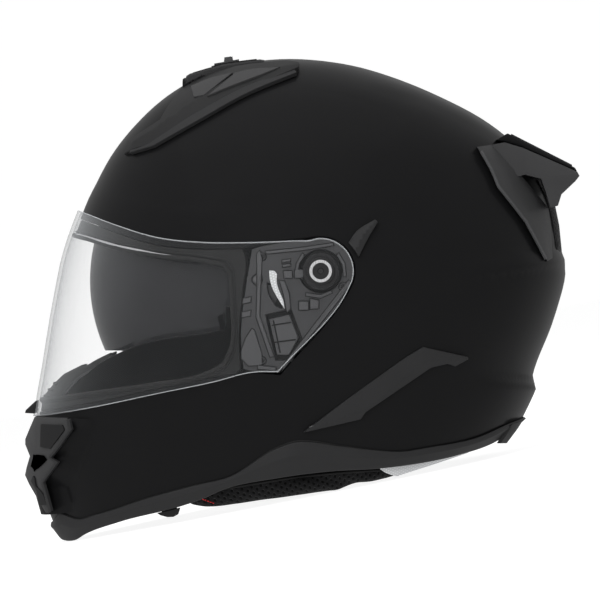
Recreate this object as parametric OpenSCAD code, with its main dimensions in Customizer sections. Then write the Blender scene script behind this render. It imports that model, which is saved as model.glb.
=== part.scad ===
// Full-face motorcycle helmet: shell, liners, clear visor, inner sun visor, vents, spoiler and chin strap.
// Every piece is drawn in head axes: +X to the wearer's left, +Y to the back, +Z up, with the origin on the
// visor's pivot axis. placed() then tips the helmet back until it stands on its chin and its neck roll.

/* [Shell] */
// Thickness of the outer shell
shell_t = 4; // [3:0.5:4.5]
// Half of the shell's greatest width
shell_half_w = 124.5; // [120:0.5:128]
// Backward tip that sets the chin and the neck roll down together
rest_tilt = 11.4; // [10:0.1:13]

/* [Visor] */
// Thickness of the clear visor
visor_t = 2; // [1.8:0.1:2.2]
// Gap between the shell's skin and the inside of the visor
visor_gap = 1.5; // [1.4:0.1:1.8]
// Radius of the boss bore that the visor turns on
boss_bore_r = 6.5; // [6:0.1:7]

/* [Sun visor] */
// Outer radius of the smoked lens at its middle
sun_r = 101; // [99:0.5:101]
// Thickness of the smoked lens
sun_t = 1.8; // [1.5:0.1:2]

/* [Liner] */
// Half width of the head space in the foam liner
head_half_w = 80; // [77:0.5:81]
// Thickness of the crown pad
pad_t = 8; // [6:0.5:9]

/* [Strap] */
// Width of the webbing
strap_w = 22; // [20:1:24]
// Thickness of the webbing
strap_t = 1.8; // [1.5:0.1:2.2]

/* [Hidden] */

origin_y = 18.05;       // moves the pivot axis back from the middle of the helmet's length
origin_z = 127.9;       // lifts the pivot axis so that the lowest point is at zero
far = 220;              // reaches past the helmet on every side
gap = 0.3;              // space between neighbouring pieces that don't touch

gloss_black = "#151515";
satin_black = "#2b2b2b";
foam_grey = "#3a3a3a";
cloth_black = "#1c1c1c";
smoke = "#4a4a4a";
clear = "#dfe5e8";
silver = "#c4c6c8";
red = "#b02020";

module placed() translate([0, origin_y, origin_z]) rotate([-rest_tilt, 0, 0]) children();
module on_side(side) mirror([side < 0 ? 1 : 0, 0, 0]) children();
// Zeros keep the size: a sculpted solid is evaluated as one mesh.
module sculpted() resize([0, 0, 0]) children();

// ---- The helmet's skin ----
// Level sections from the crown down: height, foremost y, rearmost y, half width, y of the widest place.
SECTIONS = [
    [127.8, -18, -18, 0, -18],
    [125, -48, 13, 25, -17],
    [118, -70, 40, 46, -14],
    [106, -91, 70, 67, -10],
    [90, -109, 100, 84, -5],
    [70, -125, 123, 99, 0],
    [45, -138, 138, 111, 2],
    [24, -146.5, 142.5, 118, 4],
    [10, -151, 143.5, 121.5, 5],
    [-3, -154, 146.5, 123.2, 5],
    [-30, -159, 139.5, 124.5, 5],
    [-55, -163, 130, 122.5, 4],
    [-75, -166.5, 126, 119.5, 2],
    [-95, -169.5, 117, 114.5, 0],
    [-115, -169, 103, 107.5, -3],
    [-135, -165, 88, 99, -6],
    [-150, -160, 75, 91, -9],
    [-166, -152, 62, 81, -12]
];
last = len(SECTIONS) - 1;
width_k = shell_half_w / 124.5;
front_fullness = -0.04;  // pinches the sections a little towards the chin
rear_fullness = 0.05;    // squares them a little towards the neck

// The apex is mirrored through itself, so that the spline crosses the crown smoothly.
function section(i) = let (a = SECTIONS[0], b = SECTIONS[1])
    i < 0 ? [b[0], 2 * a[1] - b[1], 2 * a[2] - b[2], -b[3], b[4]]
    : i > last ? 2 * SECTIONS[last] - SECTIONS[last - 1]
    : SECTIONS[i];
function spline(a, b, c, d, f) = 0.5 * (2 * b + (c - a) * f + (2 * a - 5 * b + 4 * c - d) * f * f
    + (3 * b - a - 3 * c + d) * f * f * f);
function level(t) = let (i = min(floor(t), last - 1))
    spline(section(i - 1), section(i), section(i + 1), section(i + 2), t - i);
// A point of the skin at level t, at angle a round the helmet from the front towards the left.
function skin_point(t, a) = let (s = level(t), c = cos(a),
    reach = c > 0 ? s[4] - s[1] : s[2] - s[4],
    full = c > 0 ? front_fullness : rear_fullness)
    [width_k * s[3] * sin(a) * (1 + full * c * c), s[4] - reach * c, s[0]];
function skin_normal(t, a) = let (e = 0.01,
    round_it = skin_point(t, a + 1) - skin_point(t, a - 1),
    down_it = skin_point(min(t + e, last), a) - skin_point(t - e, a),
    n = cross(down_it, round_it))
    n / norm(n);
// A point at a depth under the skin. A negative depth stands proud of it.
function skin(t, a, depth) = skin_point(t, a) - depth * skin_normal(t, a);

skin_rows = 25;
skin_cols = 40;
// The solid inside the skin at a depth, open to no side: it ends in a flat fan below the chin. The facets'
// diagonals are mirrored from left to right, so that both sides are exactly alike.
module skin_body(depth) {
    points = [[0, SECTIONS[0][1], SECTIONS[0][0] - depth],
        for (i = [1 : skin_rows], j = [0 : skin_cols - 1])
            skin(last * i / skin_rows, 360 * j / skin_cols, depth),
        [0, -12, -175]];
    function at(i, j) = 1 + (i - 1) * skin_cols + j % skin_cols;
    foot = 1 + skin_rows * skin_cols;
    faces = [
        for (j = [0 : skin_cols - 1]) [0, at(1, j + 1), at(1, j)],
        for (i = [1 : skin_rows - 1], j = [0 : skin_cols - 1]) each j < skin_cols / 2
            ? [[at(i, j), at(i + 1, j + 1), at(i + 1, j)], [at(i, j), at(i, j + 1), at(i + 1, j + 1)]]
            : [[at(i, j), at(i, j + 1), at(i + 1, j)], [at(i, j + 1), at(i + 1, j + 1), at(i + 1, j)]],
        for (j = [0 : skin_cols - 1]) [foot, at(skin_rows, j), at(skin_rows, j + 1)]];
    polyhedron(points, faces);
}
// The layer between two depths.
module layer(outer, inner) difference() {
    skin_body(outer);
    skin_body(inner);
}
// A side outline of [y, z] points, drawn through the helmet from x0 to x1.
module side_prism(outline, x0 = -far, x1 = far) translate([x0, 0, 0]) rotate([90, 0, 90])
    linear_extrude(x1 - x0) polygon(outline);
module round_bar(r, x0, x1, y = 0, z = 0, fn = 48) translate([x0, y, z]) rotate([0, 90, 0])
    cylinder(r = r, h = x1 - x0, $fn = fn);

// ---- Side outlines, [y, z] from the pivot axis ----
pocket_r = 20.2;        // round back end of the visor's pocket, centred on the pivot
pocket_end = [for (a = [65 : -16.5 : -34]) pocket_r * [cos(a), sin(a)]];
visor_end = [for (a = [112 : -18 : -32]) (pocket_r - 1) * [cos(a), sin(a)]];
BROW = [[-far, 45], [-143, 31.5], [-123, 24], [-95.5, 15.6], [-68, 13.2], [-40, 14.3], [-35, 15.6],
    [-11, 19], [2, 20]];
SHELL_OPENING = [each BROW, each pocket_end, [-23.5, -60.5], [-39, -59.5], [-62, -62], [-95, -69],
    [-137, -78], [-164, -83], [-far, -88]];
VISOR = [[-far, 47], [-144, 36.5], [-123, 28.5], [-95.5, 20], [-68, 17], [-45, 16.8], [-33, 17],
    [-12, 17.8], each visor_end, [-24.6, -58.6], [-39, -59], [-62.5, -64.8], [-95.5, -71.8],
    [-137, -80.8], [-164, -85.6], [-far, -90]];
EYE_WINDOW = [[-far, 26], [-144, 20], [-120, 13], [-95, 8], [-70, 5], [-58, 2.5], [-54, -3],
    [-53, -20], [-54, -45], [-58, -53.5], [-66, -58.5], [-100, -65.5], [-130, -70], [-156, -74],
    [-far, -80]];
PLATE = [[-40, 12.8], [-35, 14.4], [-11, 17.8], [2, 19.2],
    for (a = [60 : -15.6 : -34]) (pocket_r - 0.8) * [cos(a), sin(a)],
    [-24.2, -59.3], [-38.5, -58.6], [-45, -57], [-46.5, -38], [-44, -12]];
RIM_TOP = [[-far, -150], [-160, -150], [-155, -143.5], [-150, -145.6], [-145, -147], [-133, -144],
    [-98.5, -132.6], [-72.5, -125.4], [-55, -121], [-24.6, -103.3], [-16.5, -100.5], [12.5, -102.4],
    [28.5, -104.3], [49, -105.5], [60.5, -103.8], [93, -97.8], [113.5, -89.7], [119, -88], [far, -60]];
RIM_FOOT = [[far, -70], [117, -93], [103, -101.5], [82, -108], [56, -113], [35, -115.4], [6, -117],
    [-24.6, -121], [-57, -128], [-68, -133], [-81, -137.7], [-118.5, -147.9], [-140, -156.2],
    [-146, -159.9], [-150, -160.71], [-157, -160.2], [-162, -156], [-far, -156]];
BELOW_RIM = [each RIM_TOP, [far, -far], [-far, -far]];

// ---- Shell and liners ----
module outer_shell() color(gloss_black) sculpted() difference() {
    layer(0, shell_t);
    side_prism(SHELL_OPENING);
    side_prism(BELOW_RIM);
    round_bar(rivet_r, -far, far, strap_y, rivet_z, 24);
}

liner_out = shell_t + 0.6;
head_y = 9;
head_half_l = 100;
head_z = 20;
head_top = 94;
// The head space: an egg above head_z and a tube of the same plan below it, grown by g.
module head_space(g = 0) {
    w = 2 * (head_half_w + g);
    l = 2 * (head_half_l + g);
    translate([0, head_y, head_z]) resize([w, l, 2 * (head_top - head_z + g)]) sphere(r = 50, $fn = 40);
    translate([0, head_y, head_z - far]) linear_extrude(far) resize([w, l]) circle(r = 50, $fn = 40);
}

SUN_AXIS = [-37, -5];
sun_half_w = 100;
lens_from = -24;        // elevation of the smoked lens's edges, seen from its own axis
lens_to = 23;
sun_lift = 45;
// Half section of a surface turned about the sun visor's axis, [radius, x], grown by g.
function sun_arc(g, x_end) = [for (x = [-x_end : x_end / 9 : x_end + 0.01])
    [(sun_r + g) * sqrt(1 - pow(x / (sun_half_w + g), 2)), x]];
// Turns a [radius, x] outline about the sun visor's axis between two elevations.
module about_sun_axis(from, to, fn = 96) translate([0, SUN_AXIS[0], SUN_AXIS[1]]) rotate([0, 90, 0])
    rotate([0, 0, -90 - to]) rotate_extrude(angle = to - from, $fn = fn) children();
// The room that the smoked lens sweeps as it lifts, open towards the shell.
module sun_pocket() {
    about_sun_axis(lens_from - 10, lens_to + sun_lift + 8)
        polygon([each sun_arc(-5, 94), [140, 94], [140, -94]]);
    for (s = [-1, 1]) on_side(s) {
        round_bar(62, 91.6, 116, SUN_AXIS[0], SUN_AXIS[1]);
        round_bar(14, 84, 116, SUN_AXIS[0], SUN_AXIS[1]);
    }
}

LINER_SIDE = [[-far, far], [far, far], [far, -84], [72, -88], [58, -60], [40, -50], [-52, -46],
    [-58, -56], [-66, -61], [-far, -61]];
WINDOW_ROOM = [[-far, 36], [-144, 30], [-120, 22], [-95, 16], [-70, 13], [-50, 12], [-47, -60], [-far, -80]];
module impact_liner() color(foam_grey) sculpted() difference() {
    intersection() {
        skin_body(liner_out);
        side_prism(LINER_SIDE);
    }
    head_space();
    side_prism(WINDOW_ROOM);
    sun_pocket();
    intersection() {
        layer(-1, 8.5);
        side_prism([for (p = PLATE) p * 1.06 + [1, 1.5]]);
    }
}

CHIN_SIDE = [[-far, -96], [-137, -89], [-95, -81], [-72, -74], [-70, -122], [-98, -130], [-133, -141.5],
    [-150, -143], [-far, -143]];
module chin_liner() color(foam_grey) sculpted() intersection() {
    layer(liner_out, 24);
    side_prism(CHIN_SIDE);
}

module crown_pad() color(cloth_black) sculpted() difference() {
    head_space(-gap);
    head_space(-pad_t);
    side_prism([[-far, 46], [-60, 40], [-30, 22], [60, 6], [far, -22], [far, -far], [-far, -far]]);
}

CHEEK = [[-66, -64], [-56, -57], [-48, -52.8], [38, -55.6], [54, -66], [60, -92], [24, -104], [-40, -108.5],
    [-64, -112], [-68, -90]];
cheek_in = 54;          // x of the pad's face, beside the jaw
// The pad's thinner front end, which lines the side of the face opening under the sun visor.
CHEEK_FRONT = [[-127, -58], [-124, -52], [-114, -50], [-58, -38.6], [-51, -39.5], [-52, -66], [-70, -70],
    [-96, -77], [-124, -70]];
cheek_front_in = 66;
module cheek_pad(side) on_side(side) color(cloth_black) sculpted() intersection() {
    skin_body(13);
    union() {
        side_prism(CHEEK, cheek_in, far);
        side_prism(CHEEK_FRONT, cheek_front_in, far);
    }
}

// The points at y 30 and y 4 lie level once the helmet is tipped: it rests on the face between them.
NECK_FOOT = [[88, -106], [67, -113], [42, -121.4], [30, -124.42], [4, -129.67], [-36, -135], [-58, -139],
    [-71, -140], [-79, -138.8]];
NECK = [[-80, -127.5], [-58, -122.6], [-30, -117.5], [10, -113.8], [40, -109.5], [70, -101], [90, -94], [130, -88],
    [130, -96], each NECK_FOOT];
module neck_roll() color(cloth_black) sculpted() intersection() {
    layer(7.4, 26);
    side_prism(NECK);
}

REFLECTOR = [[35, -115.8], [44.4, -120.4], [49, -118.8], [68.7, -112.9], [87, -107.2], [81.6, -108.4],
    [56, -113.4]];
module reflector(side) on_side(side) color(silver) sculpted() intersection() {
    layer(5.6, 7.1);
    side_prism(REFLECTOR, 0, far);
}

module chin_curtain() color(cloth_black) sculpted() intersection() {
    skin_body(11.5);
    side_prism([[-166, -144.5], [-150, -143.2], [-133, -141.7], [-98, -130.2], [-90, -128], [-89, -130.5],
        [-98, -133], [-134, -144.4], [-150, -146], [-166, -147.4]]);
}

// ---- Edge pieces ----
module rim_trim() color(satin_black) sculpted() intersection() {
    layer(-1.3, 7);
    side_prism([for (p = RIM_TOP) p - [0, 0.1], each RIM_FOOT]);
}

module rear_rim_clip() color(satin_black) sculpted() intersection() {
    layer(-3.4, -1.4);
    side_prism([[104, -101.8], [111, -102], [118, -93], [121, -88.5], [114, -90.4], [96, -98]], -46, 46);
}

module eyeport_seal() color(satin_black) sculpted() difference() {
    intersection() {
        layer(-0.6, 5);
        side_prism([for (p = SHELL_OPENING) [p[0], p[1] + (p[1] > 0 ? -0.15 : 0.15)]]);
        side_prism([[-far, far], [-42, far], [-45.5, -12], [-48, -38], [-46.5, -62], [-40, -100], [-far, -100]]);
    }
    side_prism(EYE_WINDOW);
}

GUARD = [[-166, -76], [-140, -60], [-134.5, -55], [-133, -57], [-139, -63], [-146, -70], [-160, -79]];
module breath_guard() color(satin_black) sculpted() intersection() {
    skin_body(8.4);
    side_prism(GUARD, -52, 52);
}

// ---- Visor and its mechanism ----
plate_out = 1.2;
plate_in = 6;
release_at = [-22, -37];
release_room = [[-8.5, 9.5], [4, 12.5], [9.5, -2], [4, -12.5], [-3.5, -12.5]];
module release_outline(g) offset(delta = g) translate(release_at) polygon(release_room);
SPRING = [[-31, -8], [-26.5, -8], [-25, -13], [-21.5, -18], [-23, -21.8], [-26.5, -20], [-30, -14]];
module base_plate(side) on_side(side) color(satin_black) sculpted() difference() {
    intersection() {
        layer(plate_out, plate_in);
        side_prism(PLATE, 0, far);
    }
    round_bar(12.6, 0, far);
    translate([far / 2, 0, 0]) rotate([90, 0, 90]) linear_extrude(far) release_outline(gap + 3);
    side_prism([for (p = SPRING) p * 1.1 + [2.6, 2]], 0, far);
    for (p = PLATE_SCREWS) round_bar(2.6, 0, far, p[0], p[1], 16);
    round_bar(sun_pin_r + 0.3, 0, 114.4, SUN_AXIS[0], SUN_AXIS[1], 24);
}

PLATE_SCREWS = [[-34, 8.4], [-34, -52], [13, -9]];
module base_plate_screws() color(silver) for (s = [-1, 1], p = PLATE_SCREWS) on_side(s) {
    round_bar(2.4, 112.6, 116.5, p[0], p[1]);
    difference() {
        round_bar(2.4, 116.5, 118, p[0], p[1]);
        translate([117.4, p[0], p[1]]) cube([2, 0.8, 3], center = true);
    }
}

hub_flange_x = 115.5;
hub_face_x = 128.4;
boss_x0 = 119;
boss_x1 = 127;
boss_r = 10.4;
module pivot_hub(side) on_side(side) color(satin_black) difference() {
    union() {
        round_bar(12.4, hub_flange_x, 118.4);
        round_bar(boss_bore_r - 0.05, 118.4, 127.4);
        round_bar(8, 127.3, hub_face_x);
    }
    rotate_extrude_x(127.9, 1, [5.2, 6.6]);
    round_bar(1.6, 126.9, 130);
}
// Cuts a ring groove of a depth into a face at x, between two radii.
module rotate_extrude_x(x, depth, radii) difference() {
    round_bar(radii[1], x, x + depth);
    round_bar(radii[0], x - 1, x + depth + 1);
}
module visor_boss(side) on_side(side) color(clear) difference() {
    round_bar(boss_r, boss_x0, boss_x1);
    round_bar(boss_bore_r, boss_x0 - 1, boss_x1 + 1);
}

module visor_lens() color(clear, 0.35) sculpted() difference() {
    intersection() {
        layer(-visor_gap - visor_t, -visor_gap);
        side_prism(VISOR);
    }
    round_bar(boss_r + 0.02, -far, far);
}

TAB = [[-176.6, -84.4], [-176, -82.6], [-170, -77], [-160, -77], [-160, -85.4]];
module visor_lift_tab() color(satin_black) sculpted() difference() {
    side_prism(TAB, -13, 13);
    skin_body(-visor_gap - visor_t - 0.05);
}

module release_key(side) on_side(side) color(satin_black) intersection() {
    translate([110, 0, 0]) rotate([90, 0, 90]) linear_extrude(9.6) release_outline(-0.2);
    translate([114, release_at[0], release_at[1]]) rotate([0, 0, 0]) cube([11, 40, 40], center = true);
}

module detent_spring(side) on_side(side) color(silver) side_prism([for (p = SPRING) p], 112.5, 116.4);

// ---- Sun visor ----
LENS_SIDE = [[-far, 40], [-120, 31], [-84, 27], [-52, 16], [-46, 4], [-45, -26], [-57, -35.5], [-116, -47],
    [-126, -47], [-far, -52]];
lens_half_w = 93;
module sun_visor_lens() color(smoke, 0.7) sculpted() intersection() {
    about_sun_axis(lens_from - 4, lens_to + 4)
        polygon([each sun_arc(0, lens_half_w), for (p = sun_arc(-sun_t, lens_half_w)) [p[0], -p[1]]]);
    side_prism(LENS_SIDE);
}

arm_x = 93.1;
arm_t = 2.2;
sun_pin_r = 3;
module sun_visor_arm(side) on_side(side) color(satin_black) difference() {
    translate([arm_x, 0, 0]) rotate([90, 0, 90]) linear_extrude(arm_t) hull() {
        translate(SUN_AXIS) circle(r = 8, $fn = 32);
        translate([-66, 12]) circle(r = 4, $fn = 32);
        translate([-68, -26]) circle(r = 4, $fn = 32);
    }
    round_bar(sun_pin_r + 0.05, arm_x - 1, arm_x + arm_t + 1, SUN_AXIS[0], SUN_AXIS[1]);
}
module sun_visor_pivot(side) on_side(side) color(silver) {
    round_bar(sun_pin_r, arm_x - 0.4, 114, SUN_AXIS[0], SUN_AXIS[1]);
    round_bar(5.5, arm_x - 2.2, arm_x - 0.4, SUN_AXIS[0], SUN_AXIS[1]);
    round_bar(6, arm_x + arm_t + 0.6, 110.2, SUN_AXIS[0], SUN_AXIS[1]);
}

LEVER = [[-96, -142.4], [-94, -143.6], [-90, -144.6], [-86.5, -144.4], [-83.6, -142.8], [-82.4, -139]];
module sun_visor_lever() color(cloth_black) sculpted() {
    intersection() {
        layer(1, 10);
        side_prism(LEVER, 0, far);
    }
    intersection() {
        layer(8.3, 10.2);
        side_prism([[-93.5, -142.6], [-84.5, -140.4], [-84.5, -131], [-93.5, -133.4]], 0, far);
    }
}

// ---- Vents and trims ----
TOP_VENT = [[-115, 69], [-108, 76], [-90.5, 93.5], [-81.5, 113.5], [-81.5, 140], [10, 140], [-11.5, 120.5],
    [-42, 106], [-72, 89], [-99, 74]];
BOX_SIDE = [[-83, 112], [-79.5, 120], [-57.6, 126.3], [-38.5, 127.6], [-31, 126.6], [-31, 110], [-83, 100]];
box_half_w = 24;
module top_vent_housing() color(satin_black) sculpted() difference() {
    union() {
        intersection() {
            layer(-3, 0.1 - 0.1);
            side_prism(TOP_VENT);
        }
        difference() {
            side_prism(BOX_SIDE, -box_half_w, box_half_w);
            skin_body(0);
        }
    }
    side_prism([[-90, 108], [-90, 119], [-72, 120], [-66, 116.5], [-66, 108]], -box_half_w + 2.5, box_half_w - 2.5);
    slider_room();
}
// The slot that the slider runs in, longer than the slider by its travel.
module slider_room() side_prism([[-64, 123.0], [-64, 130], [-38, 130], [-38, 127.45]], -6.4, 6.4);
module top_vent_slider() color(satin_black) difference() {
    side_prism([[-63.4, 123.4], [-63.4, 124.9], [-57.6, 125.9], [-57.3, 128.6], [-52.6, 129.3],
        [-52.1, 126.9], [-48.6, 127.5], [-48.6, 125.95]], -6, 6);
    for (y = [-56.4 : 1.6 : -53]) side_prism([[y, 128.9], [y - 0.3, 130], [y + 0.6, 130], [y + 0.4, 128.9]], -7, 7);
}
module top_vent_mesh() color("#0c0c0c") sculpted() difference() {
    intersection() {
        layer(-2.4, 0);
        side_prism([[-82, 104], [-82, 118.6], [-72.4, 119.4], [-66.6, 116], [-66.6, 104]], -box_half_w + 2.8,
            box_half_w - 2.8);
    }
    for (x = [-18 : 6 : 18]) translate([x - 1.4, -80, 100]) cube([2.8, 9, 40]);
}

CHIN_VENT = [[-170, -86.5], [-176.8, -101.4], [-173, -109.8], [-177, -121.8], [-163.2, -143.6], [-160, -143],
    [-165.4, -125.4], [-156, -113], [-160.4, -110.2], [-156.6, -106], [-147.4, -93.2], [-149.4, -86.5]];
shutter_half_w = 19;
module chin_vent_housing() color(satin_black) sculpted() difference() {
    intersection() {
        layer(-9, 0);
        side_prism(CHIN_VENT);
    }
    side_prism([[-190, -91], [-190, -106.5], [-173.4, -106.5], [-172.9, -104], [-169.6, -94.5], [-169.4, -91]],
        -shutter_half_w - gap, shutter_half_w + gap);
}
module chin_vent_shutter() color("#4a4a4a") side_prism([[-171.2, -91.4], [-175.2, -100.9], [-173.9, -101.5],
    [-169.9, -92]], -shutter_half_w, shutter_half_w);

WING = [[92.4, 73.5], [109, 76.4], [120, 73.1], [152, 59], [153.3, 56.6], [151, 53.6], [142.6, 45.6],
    [140.6, 39], [136, 38], [133.5, 47], [130.6, 55], [121, 57.4], [116, 56]];
BLADE = [[92.4, 73.5], [109, 76.4], [119, 56.8], [135.4, 38], [137.2, 27], [137.8, 8], [134.4, 6.2],
    [121, 29], [104.5, 49.8], [100, 61]];
module rear_spoiler() color(satin_black) sculpted() {
    difference() {
        side_prism(WING, -58, 58);
        skin_body(0);
        translate([0, 141, 45]) cube([76, 34, 22], center = true);
    }
    intersection() {
        layer(-3.6, 0);
        side_prism(BLADE);
    }
}
module spoiler_top_plate() color(gloss_black) sculpted() difference() {
    side_prism([[111, 82], [151, 61.6], [152.2, 59.4], [120, 73.6], [109.4, 76.9], [104, 78]], -50, 50);
    skin_body(-0.05);
}
module rear_vent_mesh() color("#0c0c0c") sculpted() intersection() {
    layer(-1.6, 0);
    side_prism([[129, 55], [200, 40], [200, 10], [140, 12]], -30, 30);
}

SIDE_BLADE = [[-10, -93.4], [23, -86], [26, -81.5], [64, -56], [73.5, -53.8], [78, -55.4], [85, -51],
    [84.8, -49.6], [73.5, -47.2], [59.6, -44.1], [57.8, -45.1], [30, -64]];
module side_blade(side) on_side(side) color(satin_black) sculpted() intersection() {
    layer(-2.6, 0);
    side_prism(SIDE_BLADE, 0, far);
}

FIN = [[16, 16.2], [21, 23], [31.2, 29.2], [32.8, 27.6], [27.6, 19], [22, 8]];
module visor_fin(side) on_side(side) color(satin_black) sculpted() intersection() {
    layer(-4, 0);
    side_prism(FIN, 0, far);
}

// ---- Chin strap ----
strap_y = 5;
// Middle line of the left webbing, [x, z]: down the shell's inside, under the cheek pad and across.
STRAP = [[112.2, -74], [109.8, -86], [106, -96], [100.2, -104.4], [95, -109], [84, -110.8], [56, -111],
    [30, -111], [12, -111]];
rivet_z = -86;
rivet_r = 2.2;
module strap_line(points, t, w, y) translate([0, y + w / 2, 0]) rotate([90, 0, 0]) linear_extrude(w)
    for (i = [0 : len(points) - 2]) hull() {
        translate(points[i]) circle(d = t, $fn = 16);
        translate(points[i + 1]) circle(d = t, $fn = 16);
    }
module strap(side) on_side(side) color(cloth_black) sculpted()
    strap_line(side > 0 ? STRAP : [for (p = STRAP) p[0] > 20 ? p : [27, p[1]]], strap_t, strap_w, strap_y);
module strap_rivets() color(silver) for (s = [-1, 1]) on_side(s) {
    round_bar(4.4, 107, 108.7, strap_y, rivet_z);
    round_bar(rivet_r, 108.7, 115.7, strap_y, rivet_z);
}
module strap_pad(side) on_side(side) color(cloth_black) sculpted() difference() {
    strap_line([[60, -111], [35, -111]], 7, strap_w + 7, strap_y);
    strap_line([for (i = [5 : 8]) STRAP[i]], strap_t + 0.3, strap_w + 0.6, strap_y);
}
buckle_z = -111;
// Buckle pieces are drawn from the middle of the webbing, with their outer side up, then turned face down.
module at_buckle() translate([0, strap_y, buckle_z]) mirror([0, 0, 1]) children();
module cross_pin(r, half_l) translate([0, half_l, 3]) rotate([90, 0, 0])
    cylinder(r = r, h = 2 * half_l, $fn = 32);
module buckle_housing() color("#303030") at_buckle() difference() {
    translate([-10, -13, -4]) cube([30, 26, 8.6]);
    translate([-11, -9.2, -1.6]) cube([22, 18.4, 3.2]);
    translate([12, -11.6, -1.2]) cube([9, 23.2, 2.4]);
    translate([-7, -9.6, 1.5]) cube([24, 19.2, 4]);
    cross_pin(1.25, 14);
}
module buckle_lever() color(red) at_buckle() {
    translate([0, -9, 1.8]) cube([16.5, 18, 2.6]);
    cross_pin(1.2, 12.6);
}
module buckle_tongue() color("#505050") at_buckle() difference() {
    translate([-30, -8.8, -1]) cube([38, 17.6, 2]);
    for (x = [-8 : 3 : 6]) translate([x, -8, 0.5]) cube([1.4, 16, 1]);
    translate([-28.4, -7, -2]) cube([3, 14, 4]);
}

placed() outer_shell();
placed() impact_liner();
placed() chin_liner();
placed() crown_pad();
placed() cheek_pad(1);  // cheek_pad_left
placed() cheek_pad(-1);  // cheek_pad_right
placed() neck_roll();
placed() reflector(1);  // reflector_left
placed() reflector(-1);  // reflector_right
placed() chin_curtain();
placed() rim_trim();
placed() rear_rim_clip();
placed() eyeport_seal();
placed() breath_guard();
placed() base_plate(1);  // base_plate_left
placed() base_plate(-1);  // base_plate_right
placed() base_plate_screws();
placed() pivot_hub(1);  // pivot_hub_left
placed() pivot_hub(-1);  // pivot_hub_right
placed() visor_boss(1);  // visor_boss_left
placed() visor_boss(-1);  // visor_boss_right
placed() visor_lens();
placed() visor_lift_tab();
placed() release_key(1);  // visor_release_left
placed() release_key(-1);  // visor_release_right
placed() detent_spring(1);  // detent_spring_left
placed() detent_spring(-1);  // detent_spring_right
placed() sun_visor_lens();
placed() sun_visor_arm(1);  // sun_visor_arm_left
placed() sun_visor_arm(-1);  // sun_visor_arm_right
placed() sun_visor_pivot(1);  // sun_visor_pivot_left
placed() sun_visor_pivot(-1);  // sun_visor_pivot_right
placed() sun_visor_lever();
placed() top_vent_housing();
placed() top_vent_slider();
placed() top_vent_mesh();
placed() chin_vent_housing();
placed() chin_vent_shutter();
placed() rear_spoiler();
placed() spoiler_top_plate();
placed() rear_vent_mesh();
placed() side_blade(1);  // side_blade_left
placed() side_blade(-1);  // side_blade_right
placed() visor_fin(1);  // visor_fin_left
placed() visor_fin(-1);  // visor_fin_right
placed() strap(1);  // strap_left
placed() strap(-1);  // strap_right
placed() strap_rivets();
placed() strap_pad(1);  // strap_pad_left
placed() strap_pad(-1);  // strap_pad_right
placed() buckle_housing();
placed() buckle_lever();
placed() buckle_tongue();
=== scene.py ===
"""Full-face motorcycle helmet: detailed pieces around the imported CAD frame.

Shapes are worked out in head axes, in millimetres: +X to the wearer's left, +Y to the back, +Z up, with the
origin on the visor's pivot axis, as in part.scad. place() tips them back into the row frame, in metres.
"""

import math

import bmesh
import bpy
import numpy as np
from mathutils import Matrix, Vector
from mathutils.bvhtree import BVHTree
from mathutils.geometry import delaunay_2d_cdt
from mathutils.kdtree import KDTree


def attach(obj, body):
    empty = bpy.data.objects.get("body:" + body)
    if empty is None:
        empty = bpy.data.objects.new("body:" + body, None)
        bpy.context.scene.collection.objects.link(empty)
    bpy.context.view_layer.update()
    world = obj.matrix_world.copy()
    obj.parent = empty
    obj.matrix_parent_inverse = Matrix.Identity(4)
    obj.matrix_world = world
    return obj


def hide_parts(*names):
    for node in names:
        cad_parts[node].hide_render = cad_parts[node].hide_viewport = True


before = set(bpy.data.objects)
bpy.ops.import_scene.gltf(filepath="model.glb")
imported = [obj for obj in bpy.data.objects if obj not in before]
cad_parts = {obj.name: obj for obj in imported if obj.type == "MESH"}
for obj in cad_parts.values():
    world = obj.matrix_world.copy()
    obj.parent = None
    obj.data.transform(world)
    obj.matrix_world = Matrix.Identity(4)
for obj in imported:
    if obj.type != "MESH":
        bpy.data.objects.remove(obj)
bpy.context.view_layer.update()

# ---------------------------------------------------------------- head axes and the helmet's skin
TILT = math.radians(11.4)
ORIGIN_Y, ORIGIN_Z = 18.05, 127.9
FAR = 220.0      # a y in front of or behind the whole helmet

# The skin's levels from the crown down: height, front, back, half width, and where it is widest.
SECTIONS = np.array([
    [127.8, -18, -18, 0, -18], [125, -48, 13, 25, -17], [118, -70, 40, 46, -14], [106, -91, 70, 67, -10],
    [90, -109, 100, 84, -5], [70, -125, 123, 99, 0], [45, -138, 138, 111, 2], [24, -146.5, 142.5, 118, 4],
    [10, -151, 143.5, 121.5, 5], [-3, -154, 146.5, 123.2, 5], [-30, -159, 139.5, 124.5, 5],
    [-55, -163, 130, 122.5, 4], [-75, -166.5, 126, 119.5, 2], [-95, -169.5, 117, 114.5, 0],
    [-115, -169, 103, 107.5, -3], [-135, -165, 88, 99, -6], [-150, -160, 75, 91, -9], [-166, -152, 62, 81, -12]])
LAST = len(SECTIONS) - 1
TOP, NEXT = SECTIONS[0], SECTIONS[1]
PADDED = np.vstack([[NEXT[0], 2 * TOP[1] - NEXT[1], 2 * TOP[2] - NEXT[2], -NEXT[3], NEXT[4]], SECTIONS,
                    2 * SECTIONS[LAST] - SECTIONS[LAST - 1], 3 * SECTIONS[LAST] - 2 * SECTIONS[LAST - 1]])
STEP = 18.0      # map units between two levels
FULL_FRONT, FULL_REAR = -0.04, 0.05      # how much fuller than an ellipse each half is
GRADIENT_STEP, SLOPE_STEP = 0.06, 0.05      # map units for finite differences
NEWTON_ROUNDS, LONGEST_STEP = 8, 8
HALVINGS = 26
WRAP_SWITCH = -100.0      # in front of this y an outline is followed by angle round the crown
HEX_ROW = 0.866      # row spacing of a hexagonal grid, over its pitch
BORDER_ROOM = 0.55      # how near a grid point may be to an edge, in pitches
BEVEL_RINGS = 3


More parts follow.
